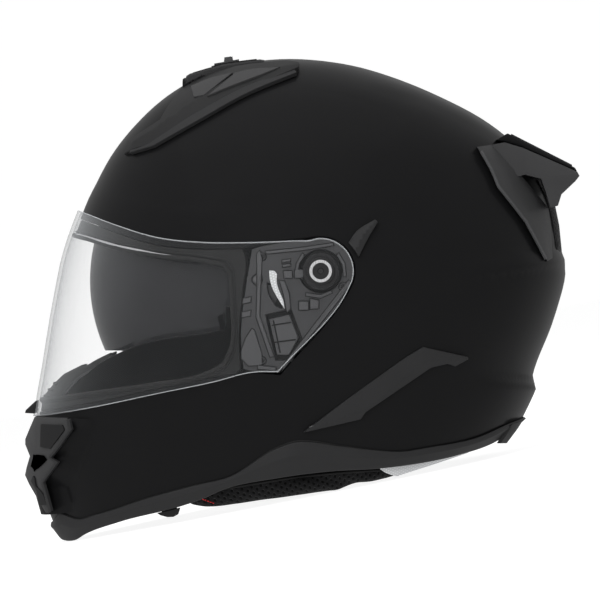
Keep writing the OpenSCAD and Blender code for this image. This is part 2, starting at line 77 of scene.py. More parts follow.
def place(p):
    """Head axes in mm to the row frame in m."""
    p = np.asarray(p, float)
    c, s = math.cos(TILT), math.sin(TILT)
    return np.stack([p[..., 0], p[..., 1] * c + p[..., 2] * s + ORIGIN_Y,
                     -p[..., 1] * s + p[..., 2] * c + ORIGIN_Z], -1) / 1000


def turned(v):
    """A direction in head axes, in the row frame."""
    return place(v) * 1000 - place(np.zeros(3)) * 1000


def head_coords(points):
    """Row-frame points in metres to head axes in mm."""
    p = np.asarray(points, float) * 1000 - [0, ORIGIN_Y, ORIGIN_Z]
    c, s = math.cos(TILT), math.sin(TILT)
    return np.stack([p[..., 0], p[..., 1] * c - p[..., 2] * s, p[..., 1] * s + p[..., 2] * c], -1)


def level(t):
    """The skin's level at a place t down the list, by a smooth curve through the levels."""
    i = np.clip(np.floor(t), 0, LAST).astype(int)
    f = (t - i)[..., None]
    a, b, c, d = PADDED[i], PADDED[i + 1], PADDED[i + 2], PADDED[i + 3]
    return 0.5 * (2 * b + (c - a) * f + (2 * a - 5 * b + 4 * c - d) * f * f + (3 * b - a - 3 * c + d) * f ** 3)


def skin(m):
    """Map points (x, y) to the skin. The map's middle is the crown, its -y side is the front."""
    m = np.asarray(m, float)
    radius = np.hypot(m[..., 0], m[..., 1])
    safe = np.where(radius < 1e-9, 1.0, radius)
    sine, cosine = m[..., 0] / safe, -m[..., 1] / safe
    row = level(radius / STEP)
    front = cosine > 0
    reach = np.where(front, row[..., 4] - row[..., 1], row[..., 2] - row[..., 4])
    full = np.where(front, FULL_FRONT, FULL_REAR)
    return np.stack([row[..., 3] * sine * (1 + full * cosine ** 2), row[..., 4] - reach * cosine, row[..., 0]], -1)


def unit(v):
    return v / np.maximum(np.linalg.norm(v, axis=-1, keepdims=True), 1e-9)


def full_turn(count):
    return np.linspace(0, 2 * math.pi, count, endpoint=False)


def gradient_normal(surface, m):
    m = np.asarray(m, float)
    ex, ey = np.array([GRADIENT_STEP, 0.0]), np.array([0.0, GRADIENT_STEP])
    return unit(np.cross(surface(m + ex) - surface(m - ex), surface(m + ey) - surface(m - ey)))


def slopes(surface, m, now):
    """How the surface's points move along the map's two axes."""
    return ((surface(m + [SLOPE_STEP, 0]) - now) / SLOPE_STEP,
            (surface(m + [0, SLOPE_STEP]) - now) / SLOPE_STEP)


SKIN_SIGN = 1.0 if gradient_normal(skin, np.array([[0.0, 90.0]]))[0] @ np.array([0, 1, 0.4]) > 0 else -1.0


def skin_normal(m):
    return SKIN_SIGN * gradient_normal(skin, m)


def at_depth(depth):
    """The surface at a depth under the skin: a number, or a function of (map points, skin points)."""
    def surface(m):
        base = skin(m)
        d = np.asarray(depth(m, base) if callable(depth) else depth)
        return base - (d[..., None] if d.ndim else d) * skin_normal(m)
    return surface


def map_of(y, z, depth=0.0, side=1):
    """Map points whose (y, z) in the side view, at a depth, are the ones given."""
    y, z = np.atleast_1d(np.asarray(y, float)), np.atleast_1d(np.asarray(z, float))
    # A first guess from the levels, then Newton's method.
    ts = np.linspace(0.05, LAST - 0.01, 1500)
    t = np.interp(-z, -level(ts)[:, 0], ts)
    row = level(t)
    ahead = (row[:, 4] - y) / (row[:, 4] - row[:, 1])
    behind = (row[:, 4] - y) / (row[:, 2] - row[:, 4])
    angle = np.arccos(np.clip(np.where(y < row[:, 4], ahead, behind), -0.9995, 0.9995))
    m = np.stack([t * STEP * np.sin(angle), -t * STEP * np.cos(angle)], -1)
    surface = at_depth(depth)
    for _ in range(NEWTON_ROUNDS):
        p = surface(m)
        gap = np.stack([y, z], -1) - p[:, 1:]
        dx, dy = (slope[:, 1:] for slope in slopes(surface, m, p))
        det = dx[:, 0] * dy[:, 1] - dx[:, 1] * dy[:, 0]
        det = np.where(np.abs(det) < 1e-4, 1e-4, det)
        step = np.stack([(gap[:, 0] * dy[:, 1] - gap[:, 1] * dy[:, 0]) / det,
                         (dx[:, 0] * gap[:, 1] - dx[:, 1] * gap[:, 0]) / det], -1)
        size = np.linalg.norm(step, axis=-1, keepdims=True)
        m = m + step * np.minimum(1, LONGEST_STEP / np.maximum(size, 1e-9))
        m[:, 0] = np.maximum(m[:, 0], 0.02)
    if side < 0:
        m[:, 0] *= -1
    return m


# ---------------------------------------------------------------- outlines
def smooth(points, step=1.5, corner=32, closed=False):
    """A polyline through the points: rounded where it bends gently, sharp where it turns more than corner."""
    p = np.asarray(points, float)
    n = len(p)
    out = []

    def heading(i, j):
        return unit(p[j % n] - p[i % n])

    def sharp(i):
        if not closed and (i <= 0 or i >= n - 1):
            return True
        return math.degrees(math.acos(np.clip(heading(i - 1, i) @ heading(i, i + 1), -1, 1))) > corner

    def tangent(i):
        before, after = p[i % n] - p[(i - 1) % n], p[(i + 1) % n] - p[i % n]
        return unit(unit(before) * np.linalg.norm(after) + unit(after) * np.linalg.norm(before))

    for i in range(n if closed else n - 1):
        a, b = p[i], p[(i + 1) % n]
        length = np.linalg.norm(b - a)
        ta = heading(i, i + 1) if sharp(i) else tangent(i)
        tb = heading(i, i + 1) if sharp((i + 1) % n if closed else i + 1) else tangent(i + 1)
        count = max(1, int(math.ceil(length / step)))
        f = (np.arange(count) / count)[:, None]
        out.append((2 * f ** 3 - 3 * f ** 2 + 1) * a + (f ** 3 - 2 * f ** 2 + f) * ta * length
                   + (-2 * f ** 3 + 3 * f ** 2) * b + (f ** 3 - f ** 2) * tb * length)
    if not closed:
        out.append(p[-1:])
    return np.vstack(out)


def edge_on_map(chain, angles, depth=0.0):
    """Map points at angles round the crown where the surface meets a side-view chain z(y)."""
    chain = chain[np.argsort(chain[:, 0])]
    low, high = np.full(len(angles), 2.0 * STEP), np.full(len(angles), (LAST - 0.02) * STEP)
    surface = at_depth(depth)
    direction = np.stack([np.sin(angles), -np.cos(angles)], -1)
    for _ in range(HALVINGS):
        middle = (low + high) / 2
        p = surface(middle[:, None] * direction)
        above = p[:, 2] > np.interp(p[:, 1], chain[:, 0], chain[:, 1])
        low, high = np.where(above, middle, low), np.where(above, high, middle)
    return ((low + high) / 2)[:, None] * direction


def wrap_on_map(outline, depth=0.0):
    """A loop across the front: an outline from front top, round the back end, to front bottom, and its mirror."""
    line = smooth(outline)
    back = np.nonzero(line[:, 0] > WRAP_SWITCH)[0]
    first, final = back[0], back[-1]
    middle = map_of(line[first:final + 1, 0], line[first:final + 1, 1], depth)
    angle = np.arctan2(middle[:, 0], -middle[:, 1])

    def front(chain, end):
        count = max(6, int(end / math.radians(0.8)))
        return edge_on_map(chain, np.linspace(0, end, count, endpoint=False), depth)
    half = np.vstack([front(line[:first + 1], angle[0]), middle, front(line[final:], angle[-1])[::-1]])
    return np.vstack([half, half[1:-1][::-1] * [-1, 1]])


def side_on_map(outline, depth, side, corner):
    line = smooth(outline, 1.2, corner, closed=True)
    return map_of(line[:, 0], line[:, 1], depth, side)


def signed_area(loop):
    x, y = loop[:, 0], loop[:, 1]
    return 0.5 * np.sum(x * np.roll(y, -1) - y * np.roll(x, -1))


def inside(points, loop):
    """Even-odd test of many points against one closed loop."""
    result = np.zeros(len(points), bool)
    for (x1, y1), (x2, y2) in zip(loop, np.roll(loop, -1, axis=0)):
        if y1 == y2:
            continue
        crosses = (points[:, 1] > min(y1, y2)) & (points[:, 1] <= max(y1, y2))
        result[crosses] ^= points[crosses, 0] < x1 + (points[crosses, 1] - y1) * (x2 - x1) / (y2 - y1)
    return result


def within(points, loops):
    """Which points lie in the first loop and in none of the others."""
    keep = inside(points, loops[0])
    for hole in loops[1:]:
        keep &= ~inside(points, hole)
    return keep


# ---------------------------------------------------------------- meshes
def make_object(name, verts, faces):
    """A mesh object from row-frame points."""
    mesh = bpy.data.meshes.new(name)
    mesh.from_pydata([tuple(v) for v in verts], [], [tuple(int(i) for i in f) for f in faces])
    mesh.update()
    obj = bpy.data.objects.new(name, mesh)
    bpy.context.scene.collection.objects.link(obj)
    return obj


def edited(obj, *changes):
    """Runs changes on the object's mesh, opened as a bmesh."""
    bm = bmesh.new()
    bm.from_mesh(obj.data)
    for change in changes:
        change(bm)
    bm.to_mesh(obj.data)
    bm.free()


def face_outwards(bm):
    bmesh.ops.recalc_face_normals(bm, faces=bm.faces)


def shade(mesh, sharp_angle=None):
    """Smooth shading, with edges sharper than an angle kept."""
    mesh.polygons.foreach_set("use_smooth", [True] * len(mesh.polygons))
    if sharp_angle is not None:
        mesh.set_sharp_from_angle(angle=math.radians(sharp_angle))


def finish_piece(obj, body, material, replaces=()):
    obj.data.materials.clear()
    obj.data.materials.append(material)
    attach(obj, body)
    if replaces:
        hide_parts(*replaces)
    return obj


def search_tree(points):
    tree = KDTree(len(points))
    for i, (x, y) in enumerate(points):
        tree.insert((x, y, 0), i)
    tree.balance()
    return tree


def triangulated(loops, grid):
    """Map points and triangles filling the first loop, less the others, with a hexagonal grid inside."""
    low, high = loops[0].min(0), loops[0].max(0)
    gx, gy = np.meshgrid(np.arange(low[0], high[0], grid), np.arange(low[1], high[1], grid * HEX_ROW))
    gx = gx + (np.arange(len(gy)) % 2)[:, None] * grid / 2
    cloud = np.stack([gx.ravel(), gy.ravel()], -1)
    border = np.vstack(loops)
    tree = search_tree(border)
    cloud = [p for p in cloud[within(cloud, loops)] if tree.find((*p, 0))[2] > grid * BORDER_ROOM]
    edges, start = [], 0
    for loop in loops:
        n = len(loop)
        edges += [(start + i, start + (i + 1) % n) for i in range(n)]
        start += n
    co, _, tris, *_ = delaunay_2d_cdt([Vector(p) for p in [*border, *cloud]], edges, [], 0, 1e-7, False)
    co = np.array([tuple(v) for v in co])
    tris = np.array([t for t in tris if len(t) == 3])
    return co, tris[within(co[tris].mean(1), loops)]


def panel(name, loops, outer, inner, bevel=0.5, grid=4.5, surface_maker=at_depth, normal_of=skin_normal,
          lower_bevel=0.0):
    """A plate between two depths with rounded edges. loops are on the map: an outline, then holes."""
    top_surface, bottom_surface = surface_maker(outer), surface_maker(inner)
    sign = SKIN_SIGN if surface_maker is at_depth else 1.0
    tops, walls = [], []
    for k, loop in enumerate(loops):
        loop = np.asarray(loop, float)
        if (signed_area(loop) > 0) == (k > 0):
            loop = loop[::-1]
        # Drop doubled points.
        loop = loop[np.linalg.norm(loop - np.roll(loop, 1, axis=0), axis=1) > 1e-3]
        p, n, bottom = top_surface(loop), normal_of(loop), bottom_surface(loop)
        before, after = unit(p - np.roll(p, 1, axis=0)), unit(np.roll(p, -1, axis=0) - p)
        after_side = sign * np.cross(n, after)
        b = unit(sign * np.cross(n, before) + after_side)
        inward = b / np.clip(np.sum(b * after_side, axis=1, keepdims=True), 0.5, 1)
        # The top face's own loop lies inside the outline by the bevel's width.
        jx, jy = slopes(top_surface, loop, p)
        target = inward * bevel
        a11, a12, a22 = (jx * jx).sum(1), (jx * jy).sum(1), (jy * jy).sum(1)
        c1, c2 = (jx * target).sum(1), (jy * target).sum(1)
        det = np.maximum(a11 * a22 - a12 * a12, 1e-9)
        tops.append(loop + np.stack([(a22 * c1 - a12 * c2) / det, (a11 * c2 - a12 * c1) / det], -1))
        quarter = [(math.sin(phi), math.cos(phi)) for phi in np.linspace(0, math.pi / 2, BEVEL_RINGS + 1)]
        rows = [(p + inward * bevel * (1 - s) - n * bevel * (1 - c), n * c - b * s) for s, c in quarter[1:]]
        if lower_bevel:
            rows += [(bottom + inward * lower_bevel * (1 - c) + n * lower_bevel * (1 - s), -b * c - n * s)
                     for s, c in quarter]
        else:
            rows.append((bottom, -b))
        walls.append(rows)

    co, tris = triangulated(tops, grid)
    top = top_surface(co)
    top_normals = normal_of(co)
    if callable(outer) or surface_maker is not at_depth:
        slope = gradient_normal(top_surface, co)
        top_normals = slope * np.sign((slope * top_normals).sum(1, keepdims=True))
    first = top[tris[:, 0]]
    face_normals = np.cross(top[tris[:, 1]] - first, top[tris[:, 2]] - first)
    flip = (face_normals * top_normals[tris[:, 0]]).sum(1) < 0
    tris[flip] = tris[flip][:, ::-1]
    # Each face is a pair: its vertices, and the vertices whose normals its corners take.
    faces = [(tuple(t), tuple(t)) for t in tris]
    verts, normals, offset = [top], [top_normals], len(co)
    # The triangulation's own loop vertices are found again by place, so that the bevel joins them.
    tree = search_tree(co)
    loop_ids = [np.array([tree.find((x, y, 0))[1] for x, y in loop]) for loop in tops]
    last_rings = []
    for ids, rows in zip(loop_ids, walls):
        n = len(ids)
        for ring, ring_normals in rows:
            verts.append(ring)
            normals.append(ring_normals)
            below = np.arange(offset, offset + n)
            offset += n
            quads = [(ids[i], below[i], below[(i + 1) % n], ids[(i + 1) % n]) for i in range(n)]
            faces += [(quad, quad) for quad in quads]
            ids = below
        last_rings.append(ids)
    # The same triangles at the inner depth, turned over; its loops are joined to the walls.
    verts.append(bottom_surface(co))
    normals.append(-normal_of(co))
    faces += [((offset + c, offset + b, offset + a),) * 2 for a, b, c in tris]
    for ids, ring in zip(loop_ids, last_rings):
        ids, n = ids + offset, len(ids)
        for i in range(n):
            j = (i + 1) % n
            faces.append(((ring[i], ids[i], ids[j], ring[j]), (ids[i], ids[i], ids[j], ids[j])))
    tables = []
    for corners, sources in faces:
        table = {}
        for vertex, source in zip(corners, sources):
            table.setdefault(int(vertex), source)
        if len(table) > 2:
            tables.append(table)
    obj = make_object(name, place(np.vstack(verts)), [list(table) for table in tables])
    edited(obj, face_outwards)
    mesh = obj.data
    shade(mesh)
    # A face may have been turned over, so each corner's normal is looked up by its vertex.
    normals = turned(np.vstack(normals))
    mesh.normals_split_custom_set([tuple(normals[tables[poly.index][mesh.loops[i].vertex_index]])
                                   for poly in mesh.polygons for i in poly.loop_indices])
    return obj


def ribbon(name, rows, closed_rows=True, closed_section=True, smooth_angle=35):
    """Quads between loops of points. rows is a list of (N, 3) arrays in head axes."""
    n, k = len(rows[0]), len(rows)
    faces = []
    for r in range(k if closed_section else k - 1):
        a, b = r * n, ((r + 1) % k) * n
        for i in range(n if closed_rows else n - 1):
            j = (i + 1) % n
            faces.append((a + i, a + j, b + j, b + i))
    if not closed_rows and closed_section:
        faces.append([r * n for r in range(k)][::-1])
        faces.append([r * n + n - 1 for r in range(k)])
    obj = make_object(name, place(np.vstack(rows)), faces)
    edited(obj, face_outwards)
    shade(obj.data, smooth_angle)
    return obj


def tube(name, points, u, v, count, material, closed=False, smooth_angle=80):
    """A rounded cord along points, with half widths u and v."""
    rows = [points + u * math.cos(a) + v * math.sin(a) for a in full_turn(count)]
    return finish_piece(ribbon(name, rows, closed_rows=closed, smooth_angle=smooth_angle), "helmet", material)


# ---------------------------------------------------------------- materials
def node(tree, kind, inputs=(), **props):
    n = tree.nodes.new(kind)
    for key, value in props.items():
        setattr(n, key, value)
    for key, value in dict(inputs).items():
        if isinstance(value, bpy.types.NodeSocket):
            tree.links.new(value, n.inputs[key])
        else:
            n.inputs[key].default_value = value
    return n


def calc(tree, operation, a, b=0.0):
    return node(tree, "ShaderNodeMath", {0: a, 1: b}, operation=operation).outputs[0]


def remap(tree, value, low, high, to_low=0.0, to_high=1.0):
    return node(tree, "ShaderNodeMapRange", {0: value, 1: low, 2: high, 3: to_low, 4: to_high}).outputs[0]


def coords_of(tree):
    return node(tree, "ShaderNodeTexCoord").outputs["Object"]


def axes_of(tree):
    return node(tree, "ShaderNodeSeparateXYZ", {0: coords_of(tree)}).outputs


def noise(tree, scale, detail=3.0, vector=None):
    return node(tree, "ShaderNodeTexNoise", {"Scale": scale, "Detail": detail,
                                             "Vector": vector or coords_of(tree)}).outputs["Fac"]


def base_material(name, colour, rough, **sockets):
    m = bpy.data.materials.new(name)
    m.use_nodes = True
    tree = m.node_tree
    shader = tree.nodes["Principled BSDF"]
    shader.inputs["Base Color"].default_value = (*colour, 1)
    shader.inputs["Roughness"].default_value = rough
    for key, value in sockets.items():
        shader.inputs[key].default_value = value
    m.diffuse_color = (*colour, 1)
    return m, tree, shader


def tint(tree, shader, colour, fac, darker=0.7, lighter=1.3):
    mix = node(tree, "ShaderNodeMix", {0: fac}, data_type="RGBA")
    mix.inputs[6].default_value = (*[c * darker for c in colour], 1)
    mix.inputs[7].default_value = (*[c * lighter for c in colour], 1)
    tree.links.new(mix.outputs[2], shader.inputs["Base Color"])


def bump(tree, shader, height, strength, distance):
    b = node(tree, "ShaderNodeBump", {"Height": height, "Strength": strength, "Distance": distance})
    tree.links.new(b.outputs[0], shader.inputs["Normal"])


def paint(name, colour=(0.0067, 0.0067, 0.0071)):
    """Satin paint under a thin lacquer, with the faint ripple that lacquer has."""
    m, tree, shader = base_material(name, colour, 0.32, **{"Specular IOR Level": 0.14, "Coat Weight": 0.25,
                                                          "Coat Roughness": 0.08, "Coat IOR": 1.3})
    tint(tree, shader, colour, noise(tree, 24), 0.9, 1.12)
    tree.links.new(remap(tree, noise(tree, 9, 2), 0.3, 0.7, 0.28, 0.36), shader.inputs["Roughness"])
    bump(tree, shader, noise(tree, 190, 2), 0.05, 0.0004)
    return m


def moulded(name, colour, rough=0.42):
    """Moulded plastic with a fine even spark-eroded grain."""
    m, tree, shader = base_material(name, colour, rough, **{"Specular IOR Level": 0.45})
    grain, broad = noise(tree, 2600, 2), noise(tree, 35, 4)
    tint(tree, shader, colour, broad, 0.86, 1.16)
    tree.links.new(remap(tree, broad, 0.3, 0.7, rough - 0.05, rough + 0.06), shader.inputs["Roughness"])
    bump(tree, shader, grain, 0.16, 0.0002)
    return m


def rubber(name, colour=(0.012, 0.012, 0.012)):
    m, tree, shader = base_material(name, colour, 0.62, **{"Specular IOR Level": 0.35})
    tint(tree, shader, colour, noise(tree, 60), 0.8, 1.3)
    bump(tree, shader, noise(tree, 1500, 3), 0.2, 0.0002)
    return m


def foam(name, colour=(0.045, 0.045, 0.047)):
    """Expanded polystyrene: flattened beads pressed together."""
    m, tree, shader = base_material(name, colour, 0.82, **{"Specular IOR Level": 0.25})
    cells = {"Scale": 330.0, "Vector": coords_of(tree)}
    walls = node(tree, "ShaderNodeTexVoronoi", cells, feature="DISTANCE_TO_EDGE")
    edge = remap(tree, walls.outputs["Distance"], 0.0, 0.12)
    middle = remap(tree, node(tree, "ShaderNodeTexVoronoi", cells).outputs["Distance"], 0, 1, 1, 0.6)
    tint(tree, shader, colour, calc(tree, "MULTIPLY", edge, middle), 0.45, 1.3)
    bump(tree, shader, edge, 0.45, 0.0006)
    return m


NECK_RADIUS = 0.105


def around(tree):
    """Distance round the helmet, and height, in metres."""
    xyz = axes_of(tree)
    return calc(tree, "MULTIPLY", calc(tree, "ARCTAN2", xyz[0], xyz[1]), NECK_RADIUS), xyz[2]


def hexagons(tree, u, v, pitch):
    """0 to 1, high at the middles of a hexagonal lattice."""
    k = 2 * math.pi / pitch
    a = calc(tree, "COSINE", calc(tree, "MULTIPLY", u, k * 1.1547))
    half, rise = calc(tree, "MULTIPLY", u, k * 0.57735), calc(tree, "MULTIPLY", v, k)
    b = calc(tree, "COSINE", calc(tree, "ADD", half, rise))
    c = calc(tree, "COSINE", calc(tree, "SUBTRACT", half, rise))
    return remap(tree, calc(tree, "ADD", calc(tree, "ADD", a, b), c), -1.5, 3.0)


def air_mesh(name, colour=(0.006, 0.006, 0.0065)):
    """Knitted spacer mesh: a net of yarn round small open holes."""
    m, tree, shader = base_material(name, colour, 0.85, **{"Sheen Weight": 0.06, "Sheen Roughness": 0.5,
                                                         "Specular IOR Level": 0.25})
    net = remap(tree, hexagons(tree, *around(tree), 0.0034), 0.62, 0.38)
    yarn = noise(tree, 3200, 2)
    tint(tree, shader, colour, calc(tree, "MULTIPLY", net, remap(tree, yarn, 0.2, 0.8, 0.6, 1.0)), 0.08, 1.6)
    bump(tree, shader, net, 0.9, 0.0009)
    return m


def knit(name, colour=(0.014, 0.014, 0.015)):
    """Brushed tricot lining."""
    m, tree, shader = base_material(name, colour, 0.9, **{"Sheen Weight": 0.5, "Sheen Roughness": 0.4,
                                                         "Specular IOR Level": 0.2})
    xyz = axes_of(tree)
    loops = hexagons(tree, calc(tree, "ADD", xyz[1], calc(tree, "MULTIPLY", xyz[0], 0.6)), xyz[2], 0.0014)
    fuzz = noise(tree, 900, 4)
    tint(tree, shader, colour, calc(tree, "MULTIPLY", loops, remap(tree, fuzz, 0.2, 0.8, 0.5, 1.2)), 0.5, 1.7)
    bump(tree, shader, calc(tree, "ADD", loops, calc(tree, "MULTIPLY", fuzz, 0.7)), 0.5, 0.0004)
    return m


def webbing(name, colour=(0.012, 0.012, 0.013)):
    """Narrow woven polyester: chevrons of yarn across the band."""
    m, tree, shader = base_material(name, colour, 0.7, **{"Sheen Weight": 0.2, "Specular IOR Level": 0.35})
    xyz = axes_of(tree)
    along = calc(tree, "ADD", xyz[0], xyz[2])
    chevron = calc(tree, "PINGPONG", xyz[1], 0.0022)
    ribs = calc(tree, "SINE", calc(tree, "MULTIPLY", calc(tree, "ADD", along, chevron), 5200))
    fibres = noise(tree, 2600, 2)
    tint(tree, shader, colour, remap(tree, calc(tree, "ADD", ribs, fibres), -1, 2), 0.5, 1.9)
    bump(tree, shader, ribs, 0.6, 0.0003)
    return m


def steel(name, colour=(0.46, 0.46, 0.47), rough=0.3, metallic=1.0):
    m, tree, shader = base_material(name, colour, rough, Metallic=metallic)
    stretched = node(tree, "ShaderNodeMapping", {"Vector": coords_of(tree), "Scale": (60.0, 2400.0, 300.0)})
    lines = noise(tree, 1.0, 3, stretched.outputs[0])
    tint(tree, shader, colour, lines, 0.85, 1.12)
    tree.links.new(remap(tree, lines, 0.3, 0.7, rough - 0.08, rough + 0.1), shader.inputs["Roughness"])
    bump(tree, shader, lines, 0.08, 0.0001)
    return m


def clear_plastic(name, colour, low, high, rough=0.03):
    """See-through plastic: nearly all passes face on, and less at a glancing angle."""
    m, tree, shader = base_material(name, colour, rough, **{"Specular IOR Level": 0.5})
    facing = node(tree, "ShaderNodeLayerWeight", {"Blend": 0.5}).outputs["Facing"]
    grazing = calc(tree, "POWER", facing, 3.0)
    wiped = remap(tree, noise(tree, 14, 3), 0.3, 0.7, -0.004, 0.004)
    alpha = calc(tree, "ADD", remap(tree, grazing, 0, 1, low, high), wiped)
    tree.links.new(alpha, shader.inputs["Alpha"])
    tree.links.new(remap(tree, noise(tree, 22, 4), 0.3, 0.7, rough, rough + 0.03), shader.inputs["Roughness"])
    m.surface_render_method = "BLENDED"
    return m


def reflective(name):
    """Woven reflective tape."""
    silver = (0.62, 0.63, 0.64)
    m, tree, shader = base_material(name, silver, 0.4)
    cells = hexagons(tree, *around(tree), 0.0016)
    tint(tree, shader, silver, cells, 0.75, 1.15)
    bump(tree, shader, cells, 0.35, 0.0002)
    return m


SHELL = paint("shell_paint")
TRIM = moulded("trim_plastic", (0.019, 0.019, 0.0198))
TRIM_MID = moulded("vent_plastic", (0.036, 0.036, 0.037))
TRIM_DARK = moulded("dark_plastic", (0.010, 0.010, 0.0105), 0.5)
# Pale plastic: the own colour of the chin vent shutter and crown vent slider, and a painted highlight on the side
# blade and spoiler lines.
TRIM_PALE_AND_HIGHLIGHT = moulded("pale_plastic_and_highlight", (0.06, 0.06, 0.062), 0.38)
WING_MAT = moulded("wing_plastic", (0.014, 0.014, 0.0145), 0.45)
# Lighter plastic for the wing's facets: a painted highlight.
WING_HIGHLIGHT = moulded("facet_painted_highlight", (0.038, 0.038, 0.039), 0.38)
PLATE_MAT = moulded("plate_plastic", (0.040, 0.040, 0.042), 0.45)
RIB_MAT = moulded("rib_plastic", (0.062, 0.062, 0.065), 0.4)
# Near black for painted shade: the gaps round the plate's ribs, the key's cut lines, the chin vent's slot, and the
# crown vent's mouth and channel.
SHADE_BLACK = moulded("painted_shade_black", (0.004, 0.004, 0.004), 0.6)
# Light grey that stands in for the bright line along the brow lip: a painted highlight.
BROW_HIGHLIGHT_MAT = moulded("brow_painted_highlight", (0.34, 0.34, 0.35), 0.3)
COLLAR = clear_plastic("collar_clear", (0.05, 0.05, 0.052), 0.45, 0.7, 0.08)
RUBBER = rubber("seal_rubber")
FOAM = foam("foam_beads")
MESH = air_mesh("air_mesh")
KNIT = knit("lining_knit")
WEBBING = webbing("strap_webbing")
STEEL = steel("brushed_steel_finish")
STEEL_DARK = steel("dark_steel_finish", (0.16, 0.16, 0.165), 0.35)
# Steel of the pivot ring, pale and only partly metallic: a painted reflection of polished metal.
STEEL_PAINTED_SHINE = steel("steel_painted_reflection", (0.62, 0.62, 0.63), 0.3, metallic=0.35)
CLEAR = clear_plastic("visor_clear", (0.60, 0.62, 0.64), 0.013, 0.5)
# Pale, less clear plastic for the visor's edges: a painted highlight along them.
CLEAR_EDGE_HIGHLIGHT = clear_plastic("visor_edge_painted_highlight", (0.62, 0.64, 0.66), 0.35, 0.85, 0.1)
SMOKE = clear_plastic("visor_smoke", (0.022, 0.022, 0.024), 0.82, 0.97, 0.04)
TAPE = reflective("reflective_tape")
RED = moulded("red_plastic", (0.42, 0.012, 0.012), 0.35)
RED_THREAD = moulded("red_thread", (0.55, 0.02, 0.02), 0.8)

# ---------------------------------------------------------------- outlines, [y, z] from the pivot axis
POCKET_R = 20.2
VISOR_T, VISOR_GAP = 2.0, 1.5


def arc(r, start, end, count):
    return [[r * math.cos(a), r * math.sin(a)] for a in np.radians(np.linspace(start, end, count))]


BROW = [[-FAR, 45], [-143, 31.5], [-123, 24], [-95.5, 15.6], [-68, 13.2], [-40, 14.3], [-35, 15.6], [-11, 19],
        [2, 20]]
SHELL_OPENING = BROW + arc(POCKET_R, 65, -34, 7) + [[-23.5, -60.5], [-39, -59.5], [-62, -62], [-95, -69],
                                                     [-137, -78], [-164, -83], [-FAR, -88]]
VISOR = ([[-FAR, 47], [-144, 36.5], [-123, 28.5], [-95.5, 20], [-68, 17], [-45, 16.8], [-33, 17], [-12, 17.8]]
         + arc(POCKET_R - 1, 112, -32, 9)
         + [[-24.6, -58.6], [-39, -59], [-62.5, -64.8], [-95.5, -71.8], [-137, -80.8], [-164, -85.6], [-FAR, -90]])
EYE_WINDOW = [[-FAR, 26], [-144, 20], [-120, 13], [-95, 8], [-70, 5], [-58, 2.5], [-54, -3], [-53, -20], [-54, -45],
              [-58, -53.5], [-66, -58.5], [-100, -65.5], [-130, -70], [-156, -74], [-FAR, -80]]
PLATE = ([[-40, 12.8], [-35, 14.4], [-11, 17.8], [2, 19.2]] + arc(POCKET_R - 0.8, 60, -34, 7)
         + [[-24.2, -59.3], [-38.5, -58.6], [-45, -57], [-46.5, -38], [-44, -12]])
RIM_TOP = [[-FAR, -150], [-160, -150], [-155, -143.5], [-150, -145.6], [-145, -147], [-133, -144], [-98.5, -132.6],
           [-72.5, -125.4], [-55, -121], [-24.6, -103.3], [-16.5, -100.5], [12.5, -102.4], [28.5, -104.3],
           [49, -105.5], [60.5, -103.8], [93, -97.8], [113.5, -89.7], [119, -88], [FAR, -60]]
RIM_FOOT = [[FAR, -70], [117, -93], [103, -101.5], [82, -108], [56, -113], [35, -115.4], [6, -117], [-24.6, -121],
            [-57, -128], [-68, -133], [-81, -137.7], [-118.5, -147.9], [-140, -156.2], [-146, -159.9],
            [-150, -160.71], [-157, -160.2], [-162, -156], [-FAR, -156]]


def line_distance(yz, line):
    """Signed distance in the side view from points to an open polyline: positive above it."""
    line = np.asarray(line, float)
    best = np.full(len(yz), 1e9)
    sign = np.ones(len(yz))
    for a, b in zip(line[:-1], line[1:]):
        ab = b - a
        f = np.clip(((yz - a) @ ab) / (ab @ ab), 0, 1)
        gap = yz - (a + f[:, None] * ab)
        d = np.linalg.norm(gap, axis=1)
        cross = ab[0] * gap[:, 1] - ab[1] * gap[:, 0]
        closer = d < best
        best = np.where(closer, d, best)
        sign = np.where(closer, np.sign(cross), sign)
    return best * sign


def fade(value, low, high):
    f = np.clip((value - low) / (high - low), 0, 1)
    return f * f * (3 - 2 * f)


REAR_LEDGE = [[60, -9], [106, -1.2], [150, 5.2]]
VENT_LEDGE = [[60, 8], [150, 12.5]]
NAPE_STEP = [[60, -58], [104, -63.5], [150, -69]]
BROW_CREASE = [[-150, 52], [-120, 43], [-90, 37], [-55, 34], [-10, 36.5]]
CROWN_CREASE = [[20, 113], [60, 103.5], [108, 80], [122, 66]]


def shell_depth(m, base):
    """The shell's pressed lines: ledges at the back, a step at the nape, and faint folds over the brow and crown."""
    yz = base[..., 1:].reshape(-1, 2)
    y = yz[:, 0]

    def fold(line, height, reach, blur, above=1):
        """A fold on one side of a line: it rises within blur, and dies away over reach."""
        d = above * line_distance(yz, line)
        return height * np.exp(-np.maximum(d, 0) / reach) * fade(d, -blur, blur)
    proud = fold(REAR_LEDGE, -1.7, 16, 2.4) * fade(y, 70, 112)
    proud += fold(VENT_LEDGE, -1.3, 16, 3.6, -1) * fade(y, 104, 122)
    proud += (fold(NAPE_STEP, 1.4, 9, 3.8) + fold(NAPE_STEP, -3.2, 10, 3.8, -1)) * fade(y, 84, 114)
    proud += fold(BROW_CREASE, -0.5, 12, 4, -1) * fade(-y, 12, 40)
    side = fade(np.abs(base[..., 0].ravel()), 18, 34)
    proud += fold(CROWN_CREASE, -0.5, 16, 4) * fade(y, 22, 45) * side
    return proud.reshape(base.shape[:-1])


# ---------------------------------------------------------------- shell
opening = wrap_on_map(SHELL_OPENING)
rim = edge_on_map(smooth(RIM_TOP), full_turn(360))
shell = panel("shell_skin", [rim, opening], shell_depth, 4.0, 0.7, 4.2)
finish_piece(shell, "helmet", SHELL, ["outer_shell"])


def circle(y, z, r, count=24):
    a = full_turn(count)
    return np.stack([y + r * np.cos(a), z + r * np.sin(a)], -1)


SIDES = ((1, "left"), (-1, "right"))

